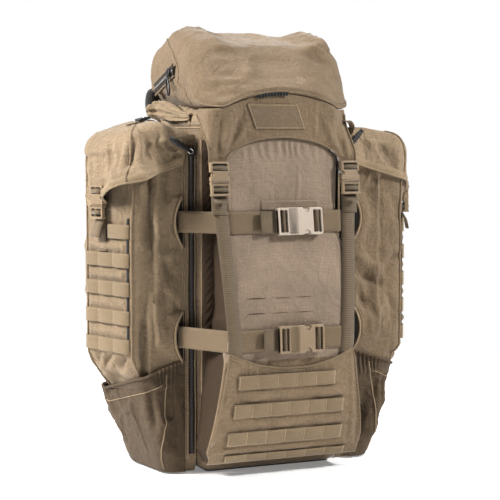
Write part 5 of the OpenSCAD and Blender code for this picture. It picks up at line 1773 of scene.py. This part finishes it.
def make_lid():
    ends = [(LID_END - back, d) for back, d in
            ((0, 20.0), (0.8, 14.5), (3, 9.5), (7, 5.5), (13, 2.6), (21, 0.8))]
    half = ends + [(v, 0.0) for v in np.linspace(LID_END - 30, 0, 30)]
    both = [(-v, d) for v, d in half] + [(v, d) for v, d in half[::-1][1:]]
    rows = [lid_ring(v, d) for v, d in both]
    for first in (True, False):
        ring = rows[0] if first else rows[-1]
        disc = [ring * k + ring.mean(0) * (1 - k) for k in (0.12, 0.3, 0.48, 0.66, 0.84)]
        rows = disc + rows if first else rows + disc[::-1]
    P = np.array(rows)
    cloth = Cloth(P, (0, -20, 720), True)
    x, y, z = (P[..., i].copy() for i in range(3))
    above = step(z, LID_Z + 14, LID_Z + 46)
    inside = 1 - step(np.abs(x), 128, 146)
    top = step(z, LID_Z + 100, LID_Z + 135)
    # Two lobes at the ends with a slack run between them
    cloth.push(5.0 * hump(x, -78, 82) * top)
    cloth.crumple(4.6, 85, 201, above * inside, (1.5, 1, 1))
    cloth.crumple(2.4, 34, 215, above * inside * (0.4 + 0.6 * step(np.abs(x), 50, 110)), (1.2, 1, 1))
    near_zip = (1 - step(np.abs(z - 706 + 0.32 * (y - 35)), 16, 34)) * (x < 0)
    cloth.crumple(4.0, 46, 233, above * (1 - inside) * (1 - near_zip), (1, 1, 1.3))
    for row in (
            ([(-138, -120, 735), (-96, -128, 722), (-40, -138, 716)], 12, 4.0),
            ([(-130, -90, 772), (-100, -96, 758), (-72, -110, 744)], 11, -6.0),
            ([(-120, -150, 700), (-92, -154, 690), (-96, -150, 712)], 9, 4.0),
            ([(-132, -140, 690), (-112, -150, 676), (-84, -160, 668)], 9, -3.5),
            ([(-40, -142, 706), (20, -142, 708), (84, -140, 716)], 14, -3.0),
            ([(70, -98, 760), (92, -104, 744), (124, -108, 738)], 10, -7.0),
            ([(84, -70, 778), (104, -88, 762), (134, -92, 758)], 9, 5.0),
            ([(100, -20, 796), (116, -50, 784), (138, -70, 772)], 9, -5.0),
            ([(96, -138, 720), (112, -140, 696), (124, -140, 676)], 12, 4.0),
            ([(40, -150, 690), (72, -150, 682), (104, -148, 672)], 9, -2.5),
            ([(-148, -40, 690), (-149, -10, 676), (-149, 30, 668)], 10, -5.0),
            ([(-146, 10, 752), (-148, 50, 738), (-148, 80, 716)], 11, -5.0),
            ([(-146, -60, 722), (-149, -40, 700), (-149, -30, 680)], 9, 4.0)):
        cloth.fold(*row)
    # The right lobe is lower than the left one and stands further forward
    cloth.P[..., 2] -= (11 * step(x, 40, 90) - 7 * hump(x, 94, 160)) * top
    cloth.P[..., 1] -= 30 * step(x, 60, 130) * top
    # The right front corner is drawn back by its strap
    cloth.P[..., 1] += 30 * step(x, 70, 150) * step(-y, 40, 150)
    # The ends lean in towards the top, the right one over a notch, and their lower edges rise to the rear
    high = np.clip((z - LID_Z - 44) / 106, 0, 1.1)
    cloth.P[..., 0] -= np.where(x < 0, -27, 9) * high ** 1.6 * step(np.abs(x), 50, 150)
    cloth.P[..., 0] += (7 - 9 * step(z, 738, 760)) * step(x, 90, 146)
    end = step(np.abs(x), 116, 144) * step(y, -110, 90) * (1 - step(z, LID_Z + 2, LID_Z + 60))
    cloth.P[..., 2] += 26 * end
    cloth.P[..., 2] = np.maximum(cloth.P[..., 2], LID_Z + 0.2)
    seams = []
    for side in (-1, 1):
        route = smooth([(side * px, py, pz) for px, py, pz in (
            (128, 84, 786), (138, 44, 769), (143, 10, 752), (147, -20, 728), (149, -47, 701), (149, -72, 678),
            (147, -94, 661))], 50)
        seams.append(route)
        cloth.fold(route, 4.0, -2.2)
    obj = cloth.build("lid_cloth", "tan", "lid", 0, None, True)
    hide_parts("lid_pocket")
    P, n = cloth.P, cloth.normals()
    pipes = [tube_part(settle(cloth, route, 1.0), 1.3, 8) for route in seams]
    lip = []
    for row in range(6, P.shape[0] - 6):
        i = int(np.argmin(P[row][:, 1] + P[row][:, 2] * 0.35))
        lip.append(P[row, i] + n[row, i] * 0.4)
    lip = np.array(lip)
    pipes.append(tube_part(lip, 1.9, 8))
    add("lid_binding", pipes, "edge", "lid")
    add("lid_stitches", [stitch_parts([lip + [0, -1.2, 6.5]], 4.0)], "dark", "lid")
    # Black elastic drawn up under the middle of the lip
    ex = np.linspace(-50, 8, 60)
    ez = LID_Z + LID_ARCH * (1 - (ex / LID_ARCH_HALF) ** 2) - 2.0
    band = line_of(ex, front_y(ez) - LAYER_2 - 4.6 - 1.2 * np.sin(ex * 1.1), ez)
    add("lid_elastic", [strip_part(band, (0, 0, 1), 6.0 + 1.2 * np.sin(ex * 1.1), 1.4)], "black_web", "lid")


def make_apron():
    xs = np.linspace(-141.5, 141.5, 150)
    top = LID_Z - 0.4 + LID_ARCH * np.maximum(0, 1 - (xs / LID_ARCH_HALF) ** 2) * 0.93
    low = apron_edge(xs)
    s = np.linspace(0, 1, 46)[:, None]
    z = low[None] + (top - low)[None] * s
    x = np.broadcast_to(xs, z.shape)
    f = front_y(z) - LAYER_2 - 2.0
    # The left edge runs back round the bag's corner towards the top
    back = step(z, 556, 648)
    bend = 22.0
    over = np.maximum(0, -x - 118) / 23.5 * (23.5 + 44 * back)
    turn = np.clip(over / bend, 0, np.pi / 2)
    past = np.maximum(0, over - bend * np.pi / 2)
    wx = np.where(over > 0, -118 - bend * np.sin(turn), x)
    wy = np.where(over > 0, f + bend - bend * np.cos(turn) + past, f)
    P = np.stack([x * (1 - back) + wx * back, f * (1 - back) + wy * back, z], -1)
    cloth = Cloth(P, (0, 0, 600))
    even = s * np.ones_like(z)
    calm = step(even, 0.04, 0.2) * (1 - step(even, 0.9, 1.0))
    patch = 1 - (step(x, -74, -62) * (1 - step(x, 44, 58))) * step(z, 606, 612) * (1 - step(z, 664, 672))
    cloth.crumple(2.0, 36, 301, calm * patch, (1, 1, 2.2))
    for row in (
            ([(-133, -160, 566), (-136, -158, 600), (-138, -150, 640)], 6, 4.0),
            ([(-124, -164, 566), (-122, -162, 600), (-118, -160, 642)], 6, -5.0),
            ([(-116, -164, 568), (-106, -163, 602), (-98, -161, 640)], 7, 5.0),
            ([(-110, -165, 572), (-92, -164, 602), (-80, -162, 640)], 6, -4.5),
            ([(-104, -166, 582), (-82, -165, 604), (-68, -163, 628)], 6, 3.5),
            ([(118, -164, 566), (112, -163, 598), (108, -161, 634)], 6, -4.0),
            ([(126, -164, 566), (128, -163, 600), (128, -161, 640)], 6, 4.0),
            ([(108, -165, 574), (92, -164, 604), (84, -162, 636)], 7, 3.5)):
        cloth.fold(*row)
    wrap = step(x, 96, 141) * step(z, 566, 640)
    cloth.P[..., 1] += 26 * wrap
    cloth.P[..., 0] -= 8 * wrap
    obj = cloth.build("apron_cloth", "tan", "lid", 1.8)
    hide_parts("lid_apron")
    P = cloth.P
    rim = np.concatenate([P[::-1, 0][4:], P[0][1:], P[1:-4, -1]])
    hem = add("apron_binding", [tube_part(rim + [0, -0.3, 0], 1.7, 8, squash=0.75, up=(0, 1, 0))], "edge",
              "lid")
    add("apron_stitches", [stitch_parts([P[6][8:-8] + [0, -0.4, 0]], 4.0)], "thread", "lid")
    declare_sheet(P)
    tabs = []
    for q in (-1, 1):
        move = up_front(q * LID_STRAP_X, LID_MOUTH_Z)
        tabs.append(moved(loop_part(NARROW), move))
    add("apron_tab_loops", tabs, "strap", "lid")
    # A small webbing loop on the right edge
    edge = P[30, -1]
    route = smooth([(edge[0] - 5, edge[1] - 2.4, edge[2] + 12), (edge[0] + 4, edge[1] - 1, edge[2] + 12),
                    (edge[0] + 12, edge[1] + 2, edge[2] + 2), (edge[0] + 9, edge[1] + 3, edge[2] - 12),
                    (edge[0] + 1, edge[1] + 1, edge[2] - 18)], 24)
    fix_normals(add("apron_loop", [strip_part(route, (0.5, -1, 0), 12, 1.6)], "web", "lid"))


def make_patch():
    """The patch leans with the apron: its foot is sewn further to the right."""
    z0, z1, half, middle = APRON_Z + 14, APRON_Z + 58, 48.0, -9.0
    x = np.linspace(-half, half, 60)
    z = np.linspace(z0, z1, 30)
    Z, X = np.meshgrid(z, x, indexing="ij")

    def place(px, pz, lift):
        return np.stack([px + middle - 16 * (pz - z0) / (z1 - z0) + 4, front_y(pz) - LAYER_3 - lift, pz], -1)
    P = place(X, Z, 0.0)
    P[..., 1] -= 0.25 * noise(P / 1.6, 9)
    obj = add("loop_patch_pile", [solid_sheet(P, 1.5, (0, -1, 0))], "pile", "lid")
    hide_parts("loop_patch")
    border = [place(x, np.full(60, zz), 1.9) for zz in (z0 + 2, z1 - 2)]
    border += [place(np.full(30, xx), z, 1.9) for xx in (-half + 2, half - 2)]
    cords = [tube_part(b + [0, 0.3, 0], 0.8, 6) for b in border]
    add("loop_patch_stitches", [stitch_parts(border, 3.2, 0.6)] + cords, "thread", "lid")


make_lid()
make_apron()
make_patch()


def make_lid_zip():
    y0, z0 = -14.0, LID_Z + LID_H * 0.47
    fall = math.radians(18)
    d = np.array([0, math.cos(fall), -math.sin(fall)])
    up = np.array([0, math.sin(fall), math.cos(fall)])
    start = np.array([-LID_END - SEAT, y0, z0])
    path = start + np.linspace(0, 104, 40)[:, None] * d
    obj = add("lid_zip_tape", [strip_part(path, -up, 20, 1.6)], "zip_tape", "lid")
    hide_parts("lid_zip")
    a = start + [-1.6, 0, 0]
    add("lid_zip_coil", [coil_parts(a, a + d * 104, up, (-1, 0, 0))], "coil", "lid")
    welts = [tube_part(path + up * k + [-0.8, 0, 0], 2.2, 8) for k in (-11.5, 11.5)]
    add("lid_zip_welts", welts, "edge", "lid")
    at = a + d * 12 + [-1.6, 0, 0]

    def move(p):
        return at + p[:, [1]] * np.array([1.0, 0, 0]) - p[:, [0]] * d + p[:, [2]] * up
    place_slider("lid_slider", "lid_slider", move, 180, False, "black", "black", "black", "lid_zip_slider",
                 34.0, True)


make_lid_zip()


# Harness

def pad_cloth(pts, y0, t):
    """Cushion on the back wall with its crown and drawn-in sides."""
    rows = []
    for k, d in ((0, 5), (0.12, 2.2), (0.25, 1), (0.4, 0.2), (0.55, 0), (0.7, 1.2), (0.8, 3), (0.9, 6.5),
                 (0.96, 11),
                 (1.0, 17), (1.01, 25), (1.01, 34)):
        ring = rounded_ring(drawn_in(pts, d), [max(16 - d * 0.6, 3)] * 4, (20, 26, 20, 26), 6)
        rows.append(line_of(ring[:, 0], y0 + t * k, ring[:, 1]))
    return Cloth(rows, (np.mean([p[0] for p in pts]), y0, np.mean([p[1] for p in pts])), True)


def inflate(obj, cap, frames=14, voxel=5.0):
    """Swells a pad as cloth under pressure, each point moved by at most cap."""
    scene = bpy.context.scene
    bpy.context.view_layer.objects.active = obj
    remesh = obj.modifiers.new("remesh", "REMESH")
    remesh.mode = "VOXEL"
    remesh.voxel_size = voxel * MM
    remesh.use_smooth_shade = True
    dg = bpy.context.evaluated_depsgraph_get()
    mesh = bpy.data.meshes.new_from_object(obj.evaluated_get(dg))
    obj.modifiers.clear()
    old = obj.data
    obj.data = mesh
    if not mesh.materials:
        for m in old.materials:
            mesh.materials.append(m)
    rest = np.array([v.co[:] for v in mesh.vertices])
    cloth = obj.modifiers.new("cloth", "CLOTH")
    cloth.settings.use_pressure = True
    cloth.settings.uniform_pressure_force = 4.0
    cloth.settings.effector_weights.gravity = 0.0
    cloth.settings.quality = 5
    cloth.point_cache.frame_start = 1
    cloth.point_cache.frame_end = frames
    for f in range(1, frames + 1):
        scene.frame_set(f)
    dg = bpy.context.evaluated_depsgraph_get()
    swollen = obj.evaluated_get(dg).to_mesh()
    after = np.array([v.co[:] for v in swollen.vertices])
    obj.evaluated_get(dg).to_mesh_clear()
    move = after - rest
    size = np.linalg.norm(move, axis=1, keepdims=True)
    move *= np.minimum(1, cap * MM / np.maximum(size, 1e-9))
    new = rest + move
    obj.modifiers.clear()
    scene.frame_set(1)
    mesh.vertices.foreach_set("co", new.ravel())
    mesh.polygons.foreach_set("use_smooth", [True] * len(mesh.polygons))
    mesh.update()
    sub = obj.modifiers.new("smooth", "SUBSURF")
    sub.levels = sub.render_levels = 1
    return obj


def make_back():
    y = BAG_BACK + SEAT
    lumbar = pad_cloth([(-92, 53), (92, 53), (92, 182), (-92, 182)], y, 22.0)
    lumbar.P[..., 1] = np.minimum(lumbar.P[..., 1], y + 23.5)
    obj = lumbar.build("lumbar_cushion", "mesh", "pack", 0, None, True)
    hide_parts("lumbar_pad")
    inflate(obj, 2.0)
    parts, piping = [], []
    for x in (-98, 16):
        for z in (214, 364):
            c = pad_cloth([(x + 2, z + 2), (x + 80, z + 2), (x + 80, z + 138), (x + 2, z + 138)], y, 16.0)
            parts.append(c.part(True))
            piping.append(tube_part(c.P[2], 1.7, 8, True))
    obj = add("back_cushions", parts, "mesh", "pack")
    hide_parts("back_pads")
    inflate(obj, 3.0)
    piping.append(tube_part(lumbar.P[2], 1.8, 8, True))
    add("cushion_piping", piping, "binding", "pack")
    ring = rounded_ring([(-112, 44), (112, 44), (112, 584), (-112, 584)], [18] * 4, (30, 60, 30, 60), 6)
    edge = line_of(ring[:, 0], y + 0.6, ring[:, 1])
    add("back_panel_edge", [tube_part(edge, 1.8, 8, True)], "binding", "pack")


SHOULDER_Y = BAG_BACK + SEAT + 7
SHOULDER = [(0, 514, 62), (0, 532, 62), (6, 556, 62), (22, 571, 62), (42, 572, 62), (60, 558, 63),
            (69, 530, 64), (74, 485, 67), (74, 430, 72), (69, 370, 80), (62, 320, 90), (56, 288, 98)]


def pad_sweep(path, across, up, w, t, n=40):
    """Padded band along a path: full in the middle, pinched at its sewn edges."""
    rows = []
    for p, a, u, ww, tt in zip(path, across, up, w, t):
        ang = np.linspace(0, 2 * np.pi, n, endpoint=False)
        cx, cy = np.cos(ang), np.sin(ang)
        X = np.sign(cx) * np.abs(cx) ** 0.42 * ww / 2
        Y = np.sign(cy) * np.abs(cy) ** 0.75 * tt / 2
        rows.append(p + a * X[:, None] + u * Y[:, None])
    return np.array(rows)


def make_shoulders():
    for side, s in SIDES:
        pts = smooth([(p[2], SHOULDER_Y + p[0], p[1]) for p in SHOULDER], 70)
        d = unit(np.gradient(pts, axis=0))
        up = unit(line_of(0, d[:, 2], -d[:, 1]))
        across = np.tile([1.0, 0, 0], (70, 1))
        k = np.linspace(0, 1, 70)
        w = 60 - 4 * k
        t = 13.4 * (0.55 + 0.45 * np.minimum(1, np.minimum(k, 1 - k) * 12 + 0.1))
        P = pad_sweep(pts, across, up, w, t)
        part = side_of(grid_part(P, True, False, True), s)
        obj = add(side + "_shoulder_pad", [part], "tan", "pack")
        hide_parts(side + "_shoulder_strap")
        fix_normals(obj)
        rims = [side_of(tube_part(pts + across * (w / 2)[:, None] * e, 1.8, 8), s) for e in (-1, 1)]
        add(side + "_shoulder_binding", rims, "binding", "pack")
        inner = pts[6:-2] - up[6:-2] * (t[6:-2] * 0.47)[:, None]
        add(side + "_shoulder_mesh", [side_of(strip_part(inner, (-1, 0, 0), 44, 1.0), s)], "mesh", "pack")
        outer = pts[26:-2] + up[26:-2] * (t[26:-2] * 0.48)[:, None]
        web = strip_part(outer, (1, 0, 0), 20, 1.4)
        add(side + "_shoulder_daisy", [side_of(web, s)], "web", "pack")


def make_harness_webbing():
    end = np.array([98.0, SHOULDER_Y + 56 - 1, 288 - 5])
    foot = np.array([104.0, BAG_BACK + SEAT, 186.0])
    along = unit(foot - end)
    out = unit(np.array([0, -along[2], along[1]]))
    path = end + (foot - end) * np.linspace(0, 1, 30)[:, None] + out * 0.2
    base = end + along * 5 + out * 2.4

    def move(p):
        return base + p[:, [0]] * along + p[:, [1]] * np.array([-1.0, 0, 0]) + p[:, [2]] * out
    lock = [plate_part([rect(0, -16.5, 25, 16.5, 3), rect(4, -12.6, 8.5, 12.6, 1)[::-1],
                        rect(12.5, -12.6, 17, 12.6, 1)[::-1]], 0, 4, 0.8),
            plate_part([rect(20, -16.5, 25, 16.5, 1.5)], 1, 5.5, 0.8)]
    rings = [side_of(moved(p, move), s) for s in (-1, 1) for p in lock]
    obj = add("shoulder_lower_webbing", pair(strip_part(path, (-1, 0, 0), NARROW, 1.9)), "web", "pack")
    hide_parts("shoulder_webbing")
    obj = fix_normals(sharp(add("ladder_locks", rings, "plastic", "pack")))
    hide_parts("shoulder_adjusters")
    lifters = []
    top = SHOULDER_Y + 42
    z = 572 + 7 + SEAT + 1
    y = BAG_BACK + SEAT + 0.2
    for s in (-1, 1):
        route = smooth([(y, BAG_H - 4), (y, BAG_H - 14), (y + 16, BAG_H - 24), (top - 12, z + 0.4),
                        (top - 2, z - 0.2)], 40)
        path = np.column_stack([np.full(40, s * 62.0), route])
        lifters.append(strip_part(path, (1, 0, 0), 20, 1.8))
    obj = fix_normals(add("load_lifter_webbing", lifters, "web", "pack"))
    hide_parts("load_lifters")
    y = BAG_BACK + SEAT
    half = [(46, y + 1), (38, y + 2.5), (30, y + 17), (18, y + 23.5)]
    route = smooth([(-x, v) for x, v in half] + [(0, y + 24.5)] + half[::-1], 60)
    path = xyz(route, BAG_H - 23)
    obj = fix_normals(add("haul_loop", [strip_part(path, (0, 0, 1), 22, 2.0)], "web", "pack"))
    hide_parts("haul_handle")
    grip = xyz(route[16:-16], BAG_H - 23)
    add("haul_grip", [tube_part(grip + [0, 0.6, 0], 11.2, 14, squash=0.36, up=(0, 1, 0))], "tan", "pack")


WING_Y = BAG_BACK + SEAT + 24 + SEAT + 6.5
WING_Z = 65.5
BELT_Y = WING_Y + 124


def make_belt():
    path2 = smooth([(x, WING_Y + back) for x, back in (
        (6, 0), (40, 0), (70, 0), (112, 3), (142, 16), (158, 42), (158, 72), (142, 98), (122, 112))], 80)
    zc = WING_Z + 55
    d = unit(np.gradient(path2, axis=0))
    out = line_of(d[:, 1], -d[:, 0], 0.0)
    pts = xyz(path2, zc)
    k = np.linspace(0, 1, 80)
    h = 108 - 40 * step(k, 0.55, 1.0)
    t = 12.4 * (0.5 + 0.5 * np.minimum(1, np.minimum(k * 3 + 0.4, (1 - k) * 10 + 0.1)))
    up = np.tile([0, 0, 1.0], (80, 1))
    for side, s in SIDES:
        P = pad_sweep(pts, up, out, h, t)
        obj = add(side + "_belt_wing", [side_of(grid_part(P, True, False, True), s)], "tan", "pack")
        fix_normals(obj)
        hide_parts(side + "_hip_wing")
        rims = [side_of(tube_part(pts + up * (h / 2)[:, None] * e, 1.9, 8), s) for e in (-1, 1)]
        add(side + "_wing_binding", rims, "binding", "pack")
        lining = pts[8:-3] - out[8:-3] * (t[8:-3] * 0.47)[:, None]
        lining = side_of(strip_part(lining, (0, 0, 1), h[8:-3] - 26, 1.0), s)
        fix_normals(add(side + "_wing_mesh", [lining], "mesh", "pack"))
        row = pts[34:-6] + out[34:-6] * (t[34:-6] * 0.47)[:, None]
        fix_normals(add(side + "_wing_webbing", [side_of(strip_part(row, (0, 0, -1), 38, 1.4), s)], "web",
                        "pack"))
    a = path2[-1] - (path2[-1] - path2[-2]) * 2
    route = smooth([a, path2[-1] + (path2[-1] - path2[-2]) * 3, (84, BELT_Y), (50, BELT_Y), (10, BELT_Y)], 40)
    route[:, 1] = np.minimum(route[:, 1], BELT_Y)
    belt = strip_part(xyz(route, zc) - [0, 0.9, 0], (0, 0, 1), BELT, 1.8)
    obj = fix_normals(add("belt_webbing", pair(belt), "black_web", "pack"))
    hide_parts("hip_webbing")
    move = on_back(0, BELT_Y + 1.3, zc)
    buckle("belt", "hip", BELT, move, "black", ("pack", "hip_male"))
    add("belt_tail", [moved(p, move) for p in tail_part(BELT, 20)], "black_web", "hip_male")


def make_sternum():
    x1, z = 82.0, 430.0
    y = SHOULDER_Y + 74 + 7 + SEAT
    half = strip_part(line_of(np.linspace(6, x1, 24), y, z), (0, 0, 1), NARROW, 1.9)
    obj = fix_normals(add("sternum_strap", pair(half), "black_web", "pack"))
    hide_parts("sternum_webbing")
    move = on_back(0, y + WEB_T + SEAT, z)
    buckle("sternum", "sternum", NARROW, move, "black", ("pack", "sternum_male"))


def make_hinges():
    y = BAG_BACK + SEAT
    parts = []
    for s in (-1, 1):
        path = line_of(s * 104.0, y, np.linspace(BAG_H - 26, LID_Z - 3, 16))
        parts.append(strip_part(path, (1, 0, 0), 44, WEB_T))
    x = np.linspace(-BAG_SIDE + 8, BAG_SIDE - 8, 60)
    parts.append(tube_part(line_of(x, y + 1, LID_Z - 2.4), 2.0, 10))
    for s in (-1, 1):
        yy = np.linspace(POD_REAR - 12, POD_FRONT + 12, 40)
        parts.append(tube_part(line_of(s * 141.5, yy, FLAP_Z + 2.4), 1.2, 8))
    obj = fix_normals(add("hinge_fabric", parts, "binding", "pack"))
    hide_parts("hinge_seams")


make_back()
make_shoulders()
make_harness_webbing()
make_belt()
make_sternum()
make_hinges()
make_flap_trim()
for slack in (FOLD, COLLAR_PAD):
    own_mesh(slack)

# Rigid nodes that keep their own shape

for name, mat in (("base_panel", "black"), ("frame_sheet", "black"), ("frame_stays", "alloy")):
    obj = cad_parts[name]
    obj.data.materials.clear()
    obj.data.materials.append(MAT[mat])
    edge = obj.modifiers.new("edge", "BEVEL")
    edge.width = 0.6 * MM
    edge.segments = 2


# Floor, light and camera

floor_mat, _, floor_shader = new_material("pale_floor", 0.9)
floor_shader.inputs["Base Color"].default_value = (0.9, 0.9, 0.9, 1)
floor_shader.inputs["Emission Color"].default_value = (1, 1, 1, 1)
floor_shader.inputs["Emission Strength"].default_value = 0.2
FLOOR_R = 1.5
floor_mesh = bpy.data.meshes.new("floor")
floor_mesh.from_pydata([(FLOOR_R * math.cos(a), FLOOR_R * math.sin(a), -0.0005)
                        for a in np.linspace(0, 2 * math.pi, 97)[:-1]], [], [list(range(96))])
floor_mesh.materials.append(floor_mat)
floor = bpy.data.objects.new("floor", floor_mesh)
bpy.context.scene.collection.objects.link(floor)

world = bpy.data.worlds.new("studio")
bpy.context.scene.world = world
world.use_nodes = True
sky = world.node_tree
heading = node(sky, "ShaderNodeSeparateXYZ", in_0=coordinates(sky, "Generated"))
sky.nodes["Background"].inputs[0].default_value = (1.0, 1.0, 1.0, 1)
sky.links.new(ramp(sky, heading.outputs[1], 0.5, 0.8, 0.15, 1.0), sky.nodes["Background"].inputs[1])
bpy.context.scene.view_settings.view_transform = "Standard"


def area_light(name, place, aim, size, power, colour=(1, 1, 1)):
    light = bpy.data.lights.new(name, "AREA")
    light.shape = "RECTANGLE"
    light.size, light.size_y = size
    light.energy = power
    light.color = colour
    obj = bpy.data.objects.new(name, light)
    bpy.context.scene.collection.objects.link(obj)
    obj.location = place
    obj.rotation_euler = (Vector(aim) - Vector(place)).to_track_quat("-Z", "Y").to_euler()


area_light("left", (-2.5, 0.2, 1.9), (0, 0, 0.45), (0.8, 1.0), 185, (1.0, 0.99, 0.97))
area_light("front", (1.9, -1.75, 2.3), (0, 0, 0.45), (0.5, 0.5), 124)
area_light("top", (0.2, -0.5, 2.6), (0, 0, 0.6), (1.4, 1.4), 16)
area_light("back", (1.1, 2.3, 1.8), (0, 0, 0.4), (1.2, 1.2), 50)

AZ, EL, DIST, FOCAL = math.radians(-23), math.radians(4.5), 2.8, 1497.0
TARGET = Vector((0, -0.010, 0.390))
back = Vector((math.sin(AZ) * math.cos(EL), -math.cos(AZ) * math.cos(EL), math.sin(EL)))
camera_data = bpy.data.cameras.new("camera")
camera_data.sensor_width = 36.0
camera_data.lens = FOCAL / 500 * 36.0
camera_data.shift_x = 0.002
camera = bpy.data.objects.new("camera", camera_data)
bpy.context.scene.collection.objects.link(camera)
camera.location = TARGET + back * DIST
camera.rotation_euler = (-back).to_track_quat("-Z", "Y").to_euler()
bpy.context.scene.camera = camera
